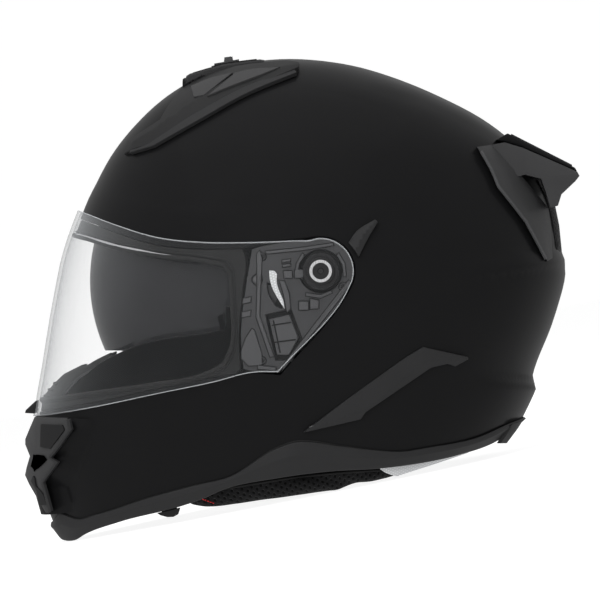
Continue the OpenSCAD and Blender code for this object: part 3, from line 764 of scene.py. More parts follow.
# ---------------------------------------------------------------- visor
PIVOT_HOLE_R, HUB_CLEAR_R = 10.45, 14
visor_loop = wrap_on_map(VISOR, -VISOR_GAP - VISOR_T / 2)
holes = [map_of(*circle(0, 0, PIVOT_HOLE_R, 40).T, -VISOR_GAP - VISOR_T / 2, side) for side, _ in SIDES]
lens = panel("visor_lens_clear", [visor_loop] + holes, -VISOR_GAP - VISOR_T, -VISOR_GAP, 0.5, 4.5, lower_bevel=0.4)
finish_piece(lens, "visor", CLEAR, ["visor_lens"])
# The lens's edges and bevels, away from the hub, take the pale edge plastic: a painted highlight along the visor's
# edges.
lens.data.materials.append(CLEAR_EDGE_HIGHLIGHT)
for poly in lens.data.polygons:
    hub_distance = np.linalg.norm(head_coords(np.array(poly.center))[1:])
    if len(poly.vertices) == 4 and hub_distance > HUB_CLEAR_R:
        poly.material_index = 1


def turned_piece(name, profile, y, z, side, segments=48):
    """A piece turned about an axis along X, from a closed profile of [x, radius]."""
    return ribbon(name, [np.column_stack([np.full(segments, side * x), circle(y, z, max(r, 0.01), segments)])
                         for x, r in profile])


def raised(name, outline, side, top, bottom, material, body="helmet", bevel=0.35, grid=4.0,
           corner=32, replaces=(), holes=()):
    """A small plate on the skin, from its [y, z] outline in the side view."""
    depth = bottom if callable(top) else top
    loops = [side_on_map(line, depth, side, corner) for line in [outline, *holes]]
    return finish_piece(panel(name, loops, top, bottom, bevel, grid), body, material, replaces)


# ---------------------------------------------------------------- visor mechanism, on both sides
RELEASE_AT = np.array([-22, -37])
RELEASE_ROOM = np.array([[-8.5, 9.5], [4, 12.5], [9.5, -2], [4, -12.5], [-3.5, -12.5]])
SPRING = [[-31, -8], [-26.5, -8], [-25, -13], [-21.5, -18], [-23, -21.8], [-26.5, -20], [-30, -14]]
PLATE_SCREWS = [[-34, 8.4], [-34, -52], [13, -9]]
# Ribs and blocks standing on the base plate: name, outline, top depth.
PLATE_RIBS = [
    ("band", [[-35.4, 12], [-34.2, 7], [-34.8, -4], [-35.6, -26], [-27.4, -49.5], [-29.4, -50], [-37.4, -27],
              [-37, -4], [-37.2, 10]], 0.3),
    ("spine", [[-32, 11.6], [-12, 13.6], [7, 16.4], [7.4, 15], [-11, 12.2], [-31.6, 10.2]], 0.2),
    ("bar", [[-8.6, -14.3], [0, -15.6], [6.6, -12.6], [6, -11.4], [0, -13.8], [-8.4, -12.8]], 0.2),
    ("block_a", [[-21.6, 0], [-16.8, 0.2], [-16.6, -4], [-21.2, -4]], -0.3),
    ("block_b", [[-15, 0.9], [-10.2, 0.9], [-10.2, -3.9], [-15, -3.9]], -0.3),
    ("block_c", [[-12.6, -17.7], [-7.2, -17.7], [-7.2, -22.5], [-12.6, -22.5]], -0.3),
    ("block_d", [[-6, -16.2], [-1.2, -17], [-1.2, -21.6], [-6, -22]], -0.3),
    ("arm", [[-24, -5.4], [-21, -6], [-18.4, -13], [-17.6, -22], [-19.6, -24], [-21.4, -14]], -0.2),
    ("drop", [[-40, -33.6], [-38.6, -34.4], [-34.4, -48], [-34.2, -54.6], [-42, -55.2], [-46, -51], [-46.2, -46.4],
              [-43.6, -39]], 0.4),
    ("edge", [[18.2, -6.6], [16.2, -5.4], [-6, -34.2], [-21.4, -54.2], [-22.6, -58.4], [-3.6, -34.6]], 0.9),
    ("edge_inner", [[13.6, -13], [12.4, -12.2], [-6.6, -36.4], [-16.8, -48.6], [-16.4, -50], [-5.6, -37.2]], 0.5),
    ("cam_a", [[9.4, 9.2], [12.6, 4], [13.4, -3], [14.8, -3], [14, 4.6], [10.6, 10.4]], 0.3),
    ("cam_b", [[-9.4, 9.2], [-12.6, 4], [-13.4, -3], [-14.8, -3], [-14, 4.6], [-10.6, 10.4]], 0.3),
    ("comb_a", [[-22, 3.6], [-17.6, 4.2], [-17.6, 3], [-22, 2.4]], -0.1),
    ("comb_b", [[-22.4, 6.2], [-17.8, 7], [-17.8, 5.8], [-22.4, 5]], -0.1),
    ("foot", [[-36.6, -54.9], [-26, -56.2], [-26.4, -57.8], [-36.4, -57]], 0.0),
    ("step_a", [[-45, -16], [-40.6, -15], [-40.8, -18], [-45.6, -19]], 0.4),
    ("step_b", [[-45.8, -24], [-40.8, -23], [-41, -26], [-46, -27]], 0.4),
]


def grown(outline, distance):
    """The outline moved outwards by a distance at every corner."""
    p = np.asarray(outline, float)
    if signed_area(p) < 0:
        p = p[::-1]
    a, b = p - np.roll(p, 1, axis=0), np.roll(p, -1, axis=0) - p
    a /= np.linalg.norm(a, axis=1, keepdims=True)
    b /= np.linalg.norm(b, axis=1, keepdims=True)
    n = np.column_stack([a[:, 1] + b[:, 1], -a[:, 0] - b[:, 0]])
    n /= np.maximum(np.linalg.norm(n, axis=1, keepdims=True), 0.5)
    share = np.clip((n * np.column_stack([b[:, 1], -b[:, 0]])).sum(1, keepdims=True), 0.6, 1)
    return p + n * distance / share


HUB_HOLE_R, SCREW_HOLE_R, SUN_PIVOT_HOLE_R = 12.7, 2.6, 3.3
KEY_DEPTH = 2.0
# Depths under the skin. A dark line round each rib stands just proud of the plate: a painted shadow in the gap round
# the rib.
PLATE_TOP, PLATE_FOOT, RIB_FOOT = 1.2, 6.0, 1.5
SHADE_LINE_TOP, SHADE_LINE_FOOT, SHADE_LINE_MARGIN = 1.13, 1.6, 0.55
KEY_LINES = [([-6.6, 5.4], [5.0, 7.2]), ([-5.2, -4.6], [7.6, -2.8]), ([-5.6, 8.4], [-1.6, -10.6])]
# Hub: a flange, a post and a cap with a steel ring let into it, whose pale colour is a painted reflection of polished
# metal.
HUB_PARTS = (
    ("pivot_post_", [(115.5, 12.3), (117.9, 12.3), (118.4, 11.8), (118.4, 6.45), (127.4, 6.45), (127.4, 1.5),
                     (115.5, 1.5)], TRIM_DARK, "trim_grey"),
    ("pivot_cap_", [(127.35, 1.5), (127.35, 7.9), (128.0, 8.0), (128.4, 7.6), (128.4, 6.9), (128.0, 6.7),
                    (128.0, 4.7), (128.4, 4.5), (128.4, 2.0), (127.9, 1.5)], TRIM, "trim_grey"),
    ("pivot_ring_", [(127.9, 4.8), (128.3, 4.8), (128.55, 5.0), (128.55, 6.4), (128.3, 6.6), (127.9, 6.6)],
     STEEL_PAINTED_SHINE, "steel"),
    ("pivot_pin_", [(126.9, 0.2), (128.1, 0.2), (128.25, 0.9), (128.1, 1.45), (126.9, 1.45)], STEEL_DARK,
     "steel"),
)
COLLAR_PROFILE = [(119, 6.55), (126.6, 6.55), (127, 6.9), (127, 9.9), (126.6, 10.4), (119.5, 10.4), (119, 9.9)]
LATCH_WINDOW = [[-30, 0.4], [-29.6, -5], [-27.8, -10.6], [-25.2, -15.4], [-21, -22], [-21.8, -17], [-24.2, -11.4],
                [-25.6, -6], [-25.4, -1.6], [-27, 0.2]]
SCREW_DEPTH = 0.9
SCREW_PROFILE = [(-3, 0.4), (-0.9, 0.5), (-0.9, 0.9), (-0.1, 1.3), (0, 1.9), (-0.4, 2.4), (-3, 2.4)]
for side, word in SIDES:
    plate_holes = [circle(0, 0, HUB_HOLE_R, 40), RELEASE_AT + RELEASE_ROOM * 1.22, np.array(SPRING) * 1.1 + [2.6, 2]]
    plate_holes += [circle(y, z, SCREW_HOLE_R, 16) for y, z in PLATE_SCREWS] + [circle(-37, -5, SUN_PIVOT_HOLE_R, 16)]
    raised("base_plate_moulded_" + word, PLATE, side, PLATE_TOP, PLATE_FOOT, PLATE_MAT, bevel=0.45, grid=3.4,
           replaces=["base_plate_" + word], holes=plate_holes)
    for label, outline, top in PLATE_RIBS:
        raised(f"plate_{label}_{word}", outline, side, top, RIB_FOOT, RIB_MAT, bevel=0.3, grid=3.0, corner=14)
        raised(f"plate_{label}_shade_line_{word}", grown(outline, SHADE_LINE_MARGIN), side, SHADE_LINE_TOP, SHADE_LINE_FOOT, SHADE_BLACK,
               bevel=0.05, grid=3.0, corner=14)
    raised("release_well_" + word, RELEASE_AT + RELEASE_ROOM * 1.3, side, 5.4, 6.4, TRIM_DARK, bevel=0.2)
    raised("spring_well_" + word, np.array(SPRING) * 1.16 + [4.0, 2.9], side, 5.2, 6.2, TRIM_DARK, bevel=0.2)
    # Release key: a five-sided button with three lines cut across its face, drawn as near-black strips of painted
    # shade.
    raised("release_button_" + word, RELEASE_AT + RELEASE_ROOM * 0.94, side, KEY_DEPTH, 5.2, RIB_MAT,
           "release_" + word, bevel=0.6, replaces=["visor_release_" + word], grid=3.0)
    for k, line in enumerate(KEY_LINES):
        a, b = RELEASE_AT + line
        across = np.array([-(b - a)[1], (b - a)[0]]) / np.linalg.norm(b - a) * 0.4
        raised(f"release_line_{k}_{word}", [a + across, b + across, b - across, a - across], side,
               KEY_DEPTH - 0.35, KEY_DEPTH + 0.2, SHADE_BLACK, "release_" + word, bevel=0.15, grid=3.0)
    for label, profile, material, slot in HUB_PARTS:
        piece = turned_piece(label + word, profile, 0, 0, side)
        finish_piece(piece, "helmet", material, ["pivot_hub_" + word] if label == "pivot_cap_" else [])
    # Visor boss: the smoky clear collar that turns on the post.
    collar = turned_piece("visor_collar_" + word, COLLAR_PROFILE, 0, 0, side)
    finish_piece(collar, "visor", COLLAR, ["visor_boss_" + word])
    # A half-moon window moulded beside the hub shows pale through the visor.
    raised("latch_window_" + word, LATCH_WINDOW, side, 0.6, 1.6, TAPE, bevel=0.2, grid=3.0)
    for k, (y, z) in enumerate(PLATE_SCREWS):
        seat = float(at_depth(SCREW_DEPTH)(map_of(y, z, SCREW_DEPTH, 1))[0, 0])
        head = turned_piece(f"plate_screw_{k}_{word}", [(seat + x, r) for x, r in SCREW_PROFILE], y, z, side, 24)
        finish_piece(head, "helmet", STEEL_DARK, ["base_plate_screws"] if k == 0 and side > 0 else [])

# ---------------------------------------------------------------- edge pieces
def blended_chain(amount):
    """A chain between the rim's upper and lower edges in the side view."""
    ys = np.linspace(-FAR, FAR, 900)
    top, foot = smooth(RIM_TOP), smooth(RIM_FOOT[::-1])
    z_top = np.interp(ys, *top[np.argsort(top[:, 0])].T)
    z_foot = np.interp(ys, *foot[np.argsort(foot[:, 0])].T)
    return np.stack([ys, z_top + (z_foot - z_top) * amount], -1)


def band_rows(section):
    """Closed loops round the helmet for a section of (amount down the rim, depth)."""
    angles = full_turn(420)
    return [at_depth(depth)(edge_on_map(blended_chain(amount), angles, depth)) for amount, depth in section]


RIM_SECTION = [(0.0, 4.4), (-0.02, 0.2), (-0.02, -0.7), (0.0, -1.1), (0.05, -1.35), (0.2, -1.9), (0.36, -2.35),
               (0.40, -2.4), (0.44, -2.3), (0.62, -1.6), (0.85, -0.9), (0.95, -0.5), (0.99, 0.0), (1.0, 0.9),
               (0.97, 6.3), (0.9, 6.9), (0.3, 7.0)]
SWELL, SWELL_Y = 2.4, -19
rim_rows = band_rows(RIM_SECTION)
for (amount, depth), row in zip(RIM_SECTION, rim_rows):
    if depth < 3:
        # The band swells where it passes under the ear.
        swell = SWELL * np.exp(-((row[:, 1] - SWELL_Y) / 15) ** 2) * math.exp(-((amount - 0.46) / 0.26) ** 2)
        row[:, 0] += np.sign(row[:, 0]) * swell
rim_band = ribbon("rim_trim_band", rim_rows, smooth_angle=50)
finish_piece(rim_band, "helmet", TRIM, ["rim_trim"])
gasket = ribbon("rim_gasket", band_rows([(-0.05, 0.5), (-0.07, -0.15), (-0.05, -0.5), (-0.02, -0.5), (0.0, 0.5)]),
                smooth_angle=60)
finish_piece(gasket, "helmet", RUBBER)

SEAL = [[-FAR, 44.8], [-143, 31.3], [-123, 23.8], [-95.5, 15.4], [-68, 13], [-46, 13.6], [-44.4, 10], [-45.6, -12],
        [-47.8, -38], [-46.8, -57], [-50, -60.4], [-62, -61.8], [-95, -68.8], [-137, -77.8], [-164, -82.8],
        [-FAR, -87.8]]
seal = panel("eyeport_seal_frame", [wrap_on_map(SEAL), wrap_on_map(EYE_WINDOW)], 0.5, 5.0, 0.9, 4.0, lower_bevel=0.6)
finish_piece(seal, "helmet", RUBBER, ["eyeport_seal"])


def bead(name, outline, depth, radius, count):
    """A rounded rubber cord laid on the skin round the eyeport."""
    loop = wrap_on_map(outline, depth)
    p, n = at_depth(depth)(loop), skin_normal(loop)
    across = np.cross(n, unit(np.roll(p, -1, axis=0) - np.roll(p, 1, axis=0)))
    tube(name, p, across * radius, n * radius, count, RUBBER, closed=True)


def window_grown(back, up, down):
    """The eye window's outline, moved out by a distance at its back, above and below."""
    return [[y + (back if y > -60 else 0), z + (up if z > -30 else -down)] for y, z in EYE_WINDOW]


bead("eyeport_lip", window_grown(1.6, 1.2, 1.2), 0.0, 1.5, 12)

# The lip over the brow is a satin strip in light grey, a painted highlight, which shows bright through the visor.
BROW_STRIP = np.array([[-FAR, 27.6], [-144, 21.6], [-120, 14.6], [-95, 9.6], [-70, 6.6], [-40, 4.6]])
STRIP_DEPTH = -0.6
reach = float(np.arctan2(*(map_of(-72, 6.8, STRIP_DEPTH)[0] * [1, -1])))
brow_angles = np.linspace(-reach, reach, 181)
brow_map = edge_on_map(BROW_STRIP, brow_angles, STRIP_DEPTH)
brow_mid, brow_n = at_depth(STRIP_DEPTH)(brow_map), skin_normal(brow_map)
brow_across = np.cross(brow_n, unit(np.gradient(brow_mid, axis=0)))
taper = np.sqrt(np.clip(1 - np.abs(brow_angles / reach) ** 6, 0.02, 1))[:, None]
tube("eyeport_brow_strip", brow_mid, taper * brow_across * 1.25, taper * brow_n * 0.8, 12, BROW_HIGHLIGHT_MAT)
bead("eyeport_groove_lip", window_grown(3, 3.8, 2.8), 0.4, 0.7, 8)

# Breath guard: a thin rubber wall behind the visor's lower edge. Its side wings rise to the sun visor.
GUARD_REACH = 29.0      # degrees round the crown
GUARD_DEPTH = 9.0
GUARD_PROFILE = np.array([[-80, -166.5], [-73.5, -165], [-62.4, -156], [-58.6, -149], [-55.2, -141.8], [-48, -139]])
guard_angles = np.radians(np.linspace(-GUARD_REACH, GUARD_REACH, 89))
guard_levels = np.linspace(-80, -46, 12)
guard_skin = np.array([at_depth(GUARD_DEPTH)(edge_on_map(np.array([[-FAR, z], [FAR, z]]), guard_angles, GUARD_DEPTH))
                       for z in guard_levels])
guard_turn = np.abs(np.degrees(guard_angles))
guard_top = np.interp(guard_turn, [0, 9, 10.5, GUARD_REACH], [-55.2, -55.2, -56.4, -48])
guard_foot = np.interp(guard_turn, [0, 20, 22, 24, 26.5, GUARD_REACH], [-79, -79, -68, -60, -54.2, -49.6])
lean = np.cos(guard_angles * 2.1) ** 0.5
profile_z, profile_y = GUARD_PROFILE.T


def guard_row(amount, inward):
    """A row round the guard at a share of its height, moved inwards by a distance."""
    z = guard_foot + (guard_top - guard_foot) * amount
    rows = []
    for k, height in enumerate(z):
        x, y = (np.interp(height, guard_levels, guard_skin[:, k, axis]) for axis in (0, 1))
        middle = np.interp(height, guard_levels, guard_skin[:, len(z) // 2, 1])
        y += (np.interp(height, profile_z, profile_y) - middle) * lean[k] + inward * lean[k]
        rows.append([x - inward * math.sin(guard_angles[k]), y, height])
    return np.array(rows)


guard_section = ([(a, 0) for a in (0, 0.25, 0.5, 0.75, 0.97)] + [(1.0, 0.6)]
                 + [(a, 1.3 + 0.5 * (1 - a)) for a in (0.97, 0.75, 0.5, 0.25, 0)])
guard = ribbon("breath_guard_wall", [guard_row(*at) for at in guard_section], closed_rows=False, smooth_angle=40)
finish_piece(guard, "helmet", RUBBER, ["breath_guard"])
along_y, along_z = np.array([0, 1.0, 0]), np.array([0, 0, 1.0])
for k, amount in enumerate((0.2, 0.36, 0.52)):
    tube(f"breath_guard_rib_{k}", guard_row(amount, -0.2)[26:63], along_y * 0.7, along_z * 0.7, 8, RUBBER,
         smooth_angle=70)
tube("breath_guard_bead", guard_row(0.0, 0.8), along_y * 0.75, along_z * 0.75, 8, TRIM_PALE_AND_HIGHLIGHT,
     smooth_angle=70)

# ---------------------------------------------------------------- side blades and fins
SIDE_BLADE = [[-10, -93.4], [23, -86], [26, -81.5], [64, -56], [73.5, -53.8], [78, -55.4], [85, -51], [84.8, -49.6],
              [73.5, -47.2], [59.6, -44.1], [57.8, -45.1], [30, -64]]
BLADE_CREST = [[-10, -93.4], [26, -79.6], [60, -52], [74, -50.4], [85, -50.3]]
BLADE_HIGHLIGHT = [[-6, -91.4], [22.6, -80.6], [23, -79.7], [-7, -90.9]]
FIN = [[16, 16.2], [21, 23], [31.2, 29.2], [32.8, 27.6], [27.6, 19], [22, 8]]
FIN_CREST = [[20, 11.5], [25, 20.5], [32, 28.4]]


def crested(line, height, edge, width, profile=lambda share: np.clip(share, 0, 1)):
    """Depth of a piece that rises to a crest line and falls away on both sides."""
    def depth(m, base):
        d = np.abs(line_distance(base[..., 1:].reshape(-1, 2), line)).reshape(base.shape[:-1])
        return -(edge + (height - edge) * profile(1 - d / width))
    return depth


for side, word in SIDES:
    raised("side_blade_plate_" + word, SIDE_BLADE, side, crested(BLADE_CREST, 2.8, 0.9, 8.5), 0.1, TRIM, bevel=0.4,
           grid=2.0, replaces=["side_blade_" + word], corner=9)
    # A thin pale strip along the blade's crest: a painted highlight.
    raised("side_blade_highlight_" + word, BLADE_HIGHLIGHT, side, -2.4, -1.2, TRIM_PALE_AND_HIGHLIGHT, bevel=0.25, grid=2.2, corner=9)
    raised("visor_fin_plate_" + word, FIN, side, crested(FIN_CREST, 4.0, 1.6, 5.0), 0.1, TRIM, bevel=0.5, grid=1.8,
           replaces=["visor_fin_" + word], corner=24)

# ---------------------------------------------------------------- CAD pieces that keep their shape
def rounded(obj, width, segments=2, angle=30):
    """Rounds an object's sharp edges with modifiers. width is in mm."""
    weld = obj.modifiers.new("weld", "WELD")
    weld.merge_threshold = 0.00001
    bevel = obj.modifiers.new("edges", "BEVEL")
    bevel.width, bevel.segments, bevel.limit_method = width / 1000, segments, "ANGLE"
    bevel.angle_limit = math.radians(angle)
    bevel.harden_normals = True
    bevel.use_clamp_overlap = True
    shade(obj.data)


def dressed(names, material, width=0.5, segments=2, angle=30):
    """A CAD node that stays: rounded edges and a finished material."""
    for name in names:
        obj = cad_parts[name]
        obj.data.materials.clear()
        obj.data.materials.append(material)
        for poly in obj.data.polygons:
            poly.material_index = 0
        rounded(obj, width, segments, angle)


for _, word in SIDES:
    # The arms are of the same smoked plastic as the lens.
    arm = bpy.data.objects.new("sun_visor_smoked_arm_" + word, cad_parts["sun_visor_arm_" + word].data.copy())
    bpy.context.scene.collection.objects.link(arm)
    rounded(arm, 0.4)
    finish_piece(arm, "sun_visor", SMOKE, ["sun_visor_arm_" + word])
dressed(["sun_visor_lever"], TRIM_DARK, 0.4)
dressed(["sun_visor_pivot_left", "sun_visor_pivot_right", "strap_rivets"], STEEL, 0.3)
dressed(["detent_spring_left", "detent_spring_right", "buckle_tongue", "buckle_housing"], STEEL_DARK, 0.25)
dressed(["buckle_lever"], RED, 0.5)
dressed(["rear_rim_clip", "visor_lift_tab"], TRIM, 0.8, 3)
dressed(["chin_vent_housing", "rear_spoiler"], TRIM_MID, 0.8, 3)
dressed(["chin_vent_shutter", "top_vent_slider"], TRIM_PALE_AND_HIGHLIGHT, 0.4)
dressed(["spoiler_top_plate"], SHELL, 0.6, 3)
dressed(["top_vent_mesh", "rear_vent_mesh"], MESH, 0.2, 1)
dressed(["impact_liner", "chin_liner"], FOAM, 1.2, 2, 40)

# ---------------------------------------------------------------- sun visor
SUN_AXIS = (-37.0, -5.0)
SUN_R, SUN_HALF_W, SUN_T, LENS_HALF_W = 101.0, 100.0, 1.8, 93.0
ELEVATIONS = 300      # places tried on each line up the lens
LENS_TOP = [[-150, 36], [-120, 31], [-106, 26], [-94, 21], [-84, 16.5], [-74, 11.4], [-60, 6.5], [-40, 3]]
LENS_FOOT = [[-150, -48], [-126, -47], [-116, -47], [-57, -35.5], [-40, -31]]


def sun_surface(depth):
    """The smoked lens, from a map of (x, elevation in hundredths of a radian)."""
    def surface(m):
        m = np.asarray(m, float)
        r = (SUN_R - depth) * np.sqrt(np.maximum(1 - (m[..., 0] / (SUN_HALF_W - depth)) ** 2, 0.01))
        a = m[..., 1] / 100
        return np.stack([m[..., 0], SUN_AXIS[0] - r * np.cos(a), SUN_AXIS[1] + r * np.sin(a)], -1)
    return surface


def sun_normal(m):
    n = gradient_normal(sun_surface(0), m)
    return n * np.sign((n * (sun_surface(0)(m) - [0, *SUN_AXIS])).sum(-1, keepdims=True))


def sun_edge(line, low, high, xs):
    """Elevations at which the lens meets a side-view line."""
    line_y, line_z = np.array(line).T
    es = np.linspace(low, high, ELEVATIONS)
    out = []
    for x in xs:
        _, y, z = sun_surface(0)(np.column_stack([np.full_like(es, x), es])).T
        out.append([x, es[np.argmin(np.abs(z - np.interp(y, line_y, line_z)))]])
    return np.array(out)


xs = np.linspace(-LENS_HALF_W, LENS_HALF_W, 121)
lens_outline = np.vstack([sun_edge(LENS_TOP, 5, 58, xs), sun_edge(LENS_FOOT, -105, -5, xs)[::-1]])
smoked = panel("sun_visor_smoked_lens", [lens_outline], 0.0, SUN_T, 0.35, 4.0, surface_maker=sun_surface,
               normal_of=sun_normal)
finish_piece(smoked, "sun_visor", SMOKE, ["sun_visor_lens"])

# ---------------------------------------------------------------- pads, filled by cloth simulation
PAD_CAP = 0.0022      # how far a point may move, in metres
SEAM_DEPTH, SEAM_WIDTH = 1.3, 2.4
CLOTH_FRAMES, CLOTH_PRESSURE = 14, 4


def applied(obj):
    """Replaces the mesh with what its modifiers make of it."""
    graph = bpy.context.evaluated_depsgraph_get()
    mesh = bpy.data.meshes.new_from_object(obj.evaluated_get(graph))
    obj.modifiers.clear()
    obj.data = mesh


def pad_blank(name, node_name, shrink, voxel):
    """The CAD pad, remeshed, softened and drawn in a little, before it is filled."""
    obj = bpy.data.objects.new(name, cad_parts[node_name].data.copy())
    bpy.context.scene.collection.objects.link(obj)
    remesh = obj.modifiers.new("remesh", "REMESH")
    remesh.mode, remesh.voxel_size = "VOXEL", voxel
    soften = obj.modifiers.new("soften", "SMOOTH")
    soften.factor, soften.iterations = 0.5, 4
    applied(obj)

    def draw_in(bm):
        bm.normal_update()
        for v, move in [(v, v.normal * shrink) for v in bm.verts]:
            v.co -= move
    edited(obj, draw_in)
    return obj


def fill_pads(objects, cap):
    """Blows all the pads up together, with each point held to within cap of where it began."""
    starts = [np.array([v.co for v in o.data.vertices]) for o in objects]
    for obj in objects:
        cloth = obj.modifiers.new("cloth", "CLOTH")
        settings = cloth.settings
        settings.quality = 4
        settings.use_pressure = True
        settings.uniform_pressure_force = CLOTH_PRESSURE
        settings.effector_weights.gravity = 0
        cloth.point_cache.frame_start, cloth.point_cache.frame_end = 1, CLOTH_FRAMES
    for f in range(1, CLOTH_FRAMES + 1):
        bpy.context.scene.frame_set(f)
    for obj in objects:
        applied(obj)
    bpy.context.scene.frame_set(1)
    for obj, start in zip(objects, starts):
        now = np.array([v.co for v in obj.data.vertices])
        move = now - start
        size = np.linalg.norm(move, axis=1, keepdims=True)
        now = start + move * np.minimum(1, cap / np.maximum(size, 1e-9))
        obj.data.vertices.foreach_set("co", now.astype(np.float32).ravel())
        obj.data.update()


def sewn(obj, seams, deep, width):
    """One subdivision, then the surface is drawn in along seam lines. A seam gives points' distances from it."""
    sub = obj.modifiers.new("sub", "SUBSURF")
    sub.levels = sub.render_levels = 1
    applied(obj)
    mesh = obj.data
    co = np.array([v.co for v in mesh.vertices])
    normals = np.array([v.normal for v in mesh.vertices])
    h = head_coords(co)
    pull = np.zeros(len(co))
    for seam in seams:
        pull = np.maximum(pull, np.exp(-(seam(h) / width) ** 2))
    co = co - normals * (pull * deep / 1000)[:, None]
    co[:, 2] = np.maximum(co[:, 2], 0.0)
    mesh.vertices.foreach_set("co", co.astype(np.float32).ravel())
    shade(mesh)
    mesh.update()


def outline_seam(outline, inset):
    """Distance from a line that runs inside a side-view outline."""
    closed = np.array(outline + outline[:1], float)
    return lambda h: np.abs(line_distance(h[:, 1:], closed)) - inset


CHEEK = [[-66, -64], [-56, -57], [-48, -52.8], [38, -55.6], [54, -66], [60, -92], [24, -104], [-40, -108.5],
         [-64, -112], [-68, -90]]
# Name, CAD node, seams, material, fill, how far it is drawn in, voxel size.
BIG_PAD, STRAP_PAD = (0.0012, 0.0045), (0.0007, 0.0022)
PADS = [
    ("crown_cushion", "crown_pad", [lambda h: np.abs(h[:, 0]) - 24, lambda h: h[:, 2] - 62,
                                    lambda h: np.hypot(h[:, 0], h[:, 1] - 9) - 52], KNIT, 0.5, BIG_PAD),
    ("cheek_cushion_left", "cheek_pad_left", [outline_seam(CHEEK, 11)], KNIT, 0.8, BIG_PAD),
    ("cheek_cushion_right", "cheek_pad_right", [outline_seam(CHEEK, 11)], KNIT, 0.8, BIG_PAD),
    ("neck_roll_cushion", "neck_roll", [lambda h: h[:, 2] + 0.185 * h[:, 1] + 121.5], MESH, 0.7, BIG_PAD),
    ("strap_cushion_left", "strap_pad_left", [lambda h: h[:, 0] - 47.5], KNIT, 0.5, STRAP_PAD),
    ("strap_cushion_right", "strap_pad_right", [lambda h: h[:, 0] + 47.5], KNIT, 0.5, STRAP_PAD),
]
blanks = {name: pad_blank(name, source, *sizes) for name, source, *_, sizes in PADS}
fill_pads(list(blanks.values()), PAD_CAP)
for name, source, seams, material, fill, _ in PADS:
    obj = blanks[name]
    sewn(obj, seams, SEAM_DEPTH, SEAM_WIDTH)
    finish_piece(obj, "helmet", material, [source])


# ---------------------------------------------------------------- cords and tape laid on the pads
def laid(name, line, target, side, radius, material, lift=0.2):
    """A thin cord laid on a piece, dropped onto it from the side along a [y, z] line."""
    tree = BVHTree.FromObject(target, bpy.context.evaluated_depsgraph_get())
    points = []
    for y, z in line:
        hit = tree.ray_cast(Vector(place([side * 200.0, y, z]).tolist()), Vector((-side, 0, 0)))[0]
        if hit is not None:
            points.append(head_coords(np.array(hit)) + np.array([side * lift, 0, 0]))
    if len(points) > 2:
        points = np.array(points)
        along = unit(np.gradient(points, axis=0))
        across = unit(np.cross([float(side), 0, 0], along))
        tube(name, points, across * radius, np.cross(along, across) * radius, 6, material)


# The cheek pads' padded front edges, which close the gap under the sun visor.
CHEEK_FRONT = [[-116, -46.2], [-57, -34.2], [-55.9, -32], [-55.6, -21], [-48, -20], [-47.5, -50], [-56, -58],
               [-66, -64], [-100, -70], [-130, -74], [-154, -77.5], [-150, -70], [-139.8, -60.6], [-132, -54.6],
               [-123, -49.5]]
for side, word in SIDES:
    edge = raised("cheek_front_" + word, CHEEK_FRONT, side, 12.0, 16.5, KNIT, bevel=1.7, grid=3.4,
                  corner=18)

neck = blanks["neck_roll_cushion"]
TAPE_DEPTH = 3.4
for side, word in SIDES:
    piping = smooth([[-72, -130.5], [-50, -126.5], [-20, -121.6], [10, -118.2], [35, -116.6]], 2.0)
    laid("neck_piping_" + word, piping, neck, side, 0.8, RUBBER)
    for k in range(6):
        y = -71 + 1.5 * k
        dash = np.array([[y, -133.2 - 0.55 * k], [y + 0.5, -133.4 - 0.55 * k], [y + 1.0, -133.6 - 0.55 * k]])
        laid(f"red_stitch_{k}_{word}", dash, neck, side, 0.38, RED_THREAD, 0.1)
    # The tape hangs from under the rim on the roll's outer side.
    tape_y = np.linspace(35, 87.5, 42)
    tape_top = np.interp(tape_y, [35, 56, 82, 88], [-113.6, -111.4, -106.4, -104.6])
    tape_foot = np.interp(tape_y, [35, 38, 44.4, 49, 68.7, 88], [-116, -118, -120.3, -118.8, -112.9, -106.9])
    tape_x = np.abs(at_depth(TAPE_DEPTH)(map_of(tape_y, tape_top, TAPE_DEPTH))[:, 0])
    rows = [np.column_stack([side * (tape_x - inward), tape_y, tape_top + (tape_foot - tape_top) * share])
            for share, inward in ((0, 0), (0.5, 0.3), (0.97, 1.1), (1, 1.4), (0.97, 1.7), (0.5, 1.0), (0, 0.8))]
    patch = ribbon("reflector_patch_" + word, rows, closed_rows=False, smooth_angle=50)
    finish_piece(patch, "helmet", TAPE, ["reflector_" + word])

# ---------------------------------------------------------------- chin curtain, a sheet stretched under the chin
CURTAIN_DEPTH, CURTAIN_ROWS, CURTAIN_COLS = 11.6, 30, 41
curtain_y = np.linspace(-157.5, -90.5, CURTAIN_ROWS)
curtain_z = np.interp(curtain_y, [-160, -150, -133, -98, -90], [-145.4, -144.6, -143, -131.6, -129.3])
half = at_depth(CURTAIN_DEPTH)(map_of(curtain_y, curtain_z, CURTAIN_DEPTH))[:, 0]
cols = np.linspace(-1, 1, CURTAIN_COLS)
curtain_points = []
for y, z, w in zip(curtain_y, curtain_z, half):
    sag = -0.5 * (1 - cols ** 2) + 0.22 * np.sin(cols * 16 + y * 0.21)
    curtain_points.append(np.column_stack([cols * w, np.full(CURTAIN_COLS, y), z + sag]))
starts = [r * CURTAIN_COLS + c for r in range(CURTAIN_ROWS - 1) for c in range(CURTAIN_COLS - 1)]
curtain = make_object("chin_curtain_cloth", place(np.vstack(curtain_points)),
                      [(s, s + 1, s + CURTAIN_COLS + 1, s + CURTAIN_COLS) for s in starts])
shade(curtain.data, 60)
thick = curtain.modifiers.new("thick", "SOLIDIFY")
thick.thickness, thick.offset = 0.0012, 0
applied(curtain)
finish_piece(curtain, "helmet", KNIT, ["chin_curtain"])

# ---------------------------------------------------------------- chin strap
STRAP = [[112.2, -74], [109.8, -86], [106, -96], [100.2, -104.4], [95, -109], [84, -110.8], [56, -111], [30, -111],
         [12, -111]]
STRAP_Y, STRAP_W, STRAP_T = 5.0, 22.0, 1.8


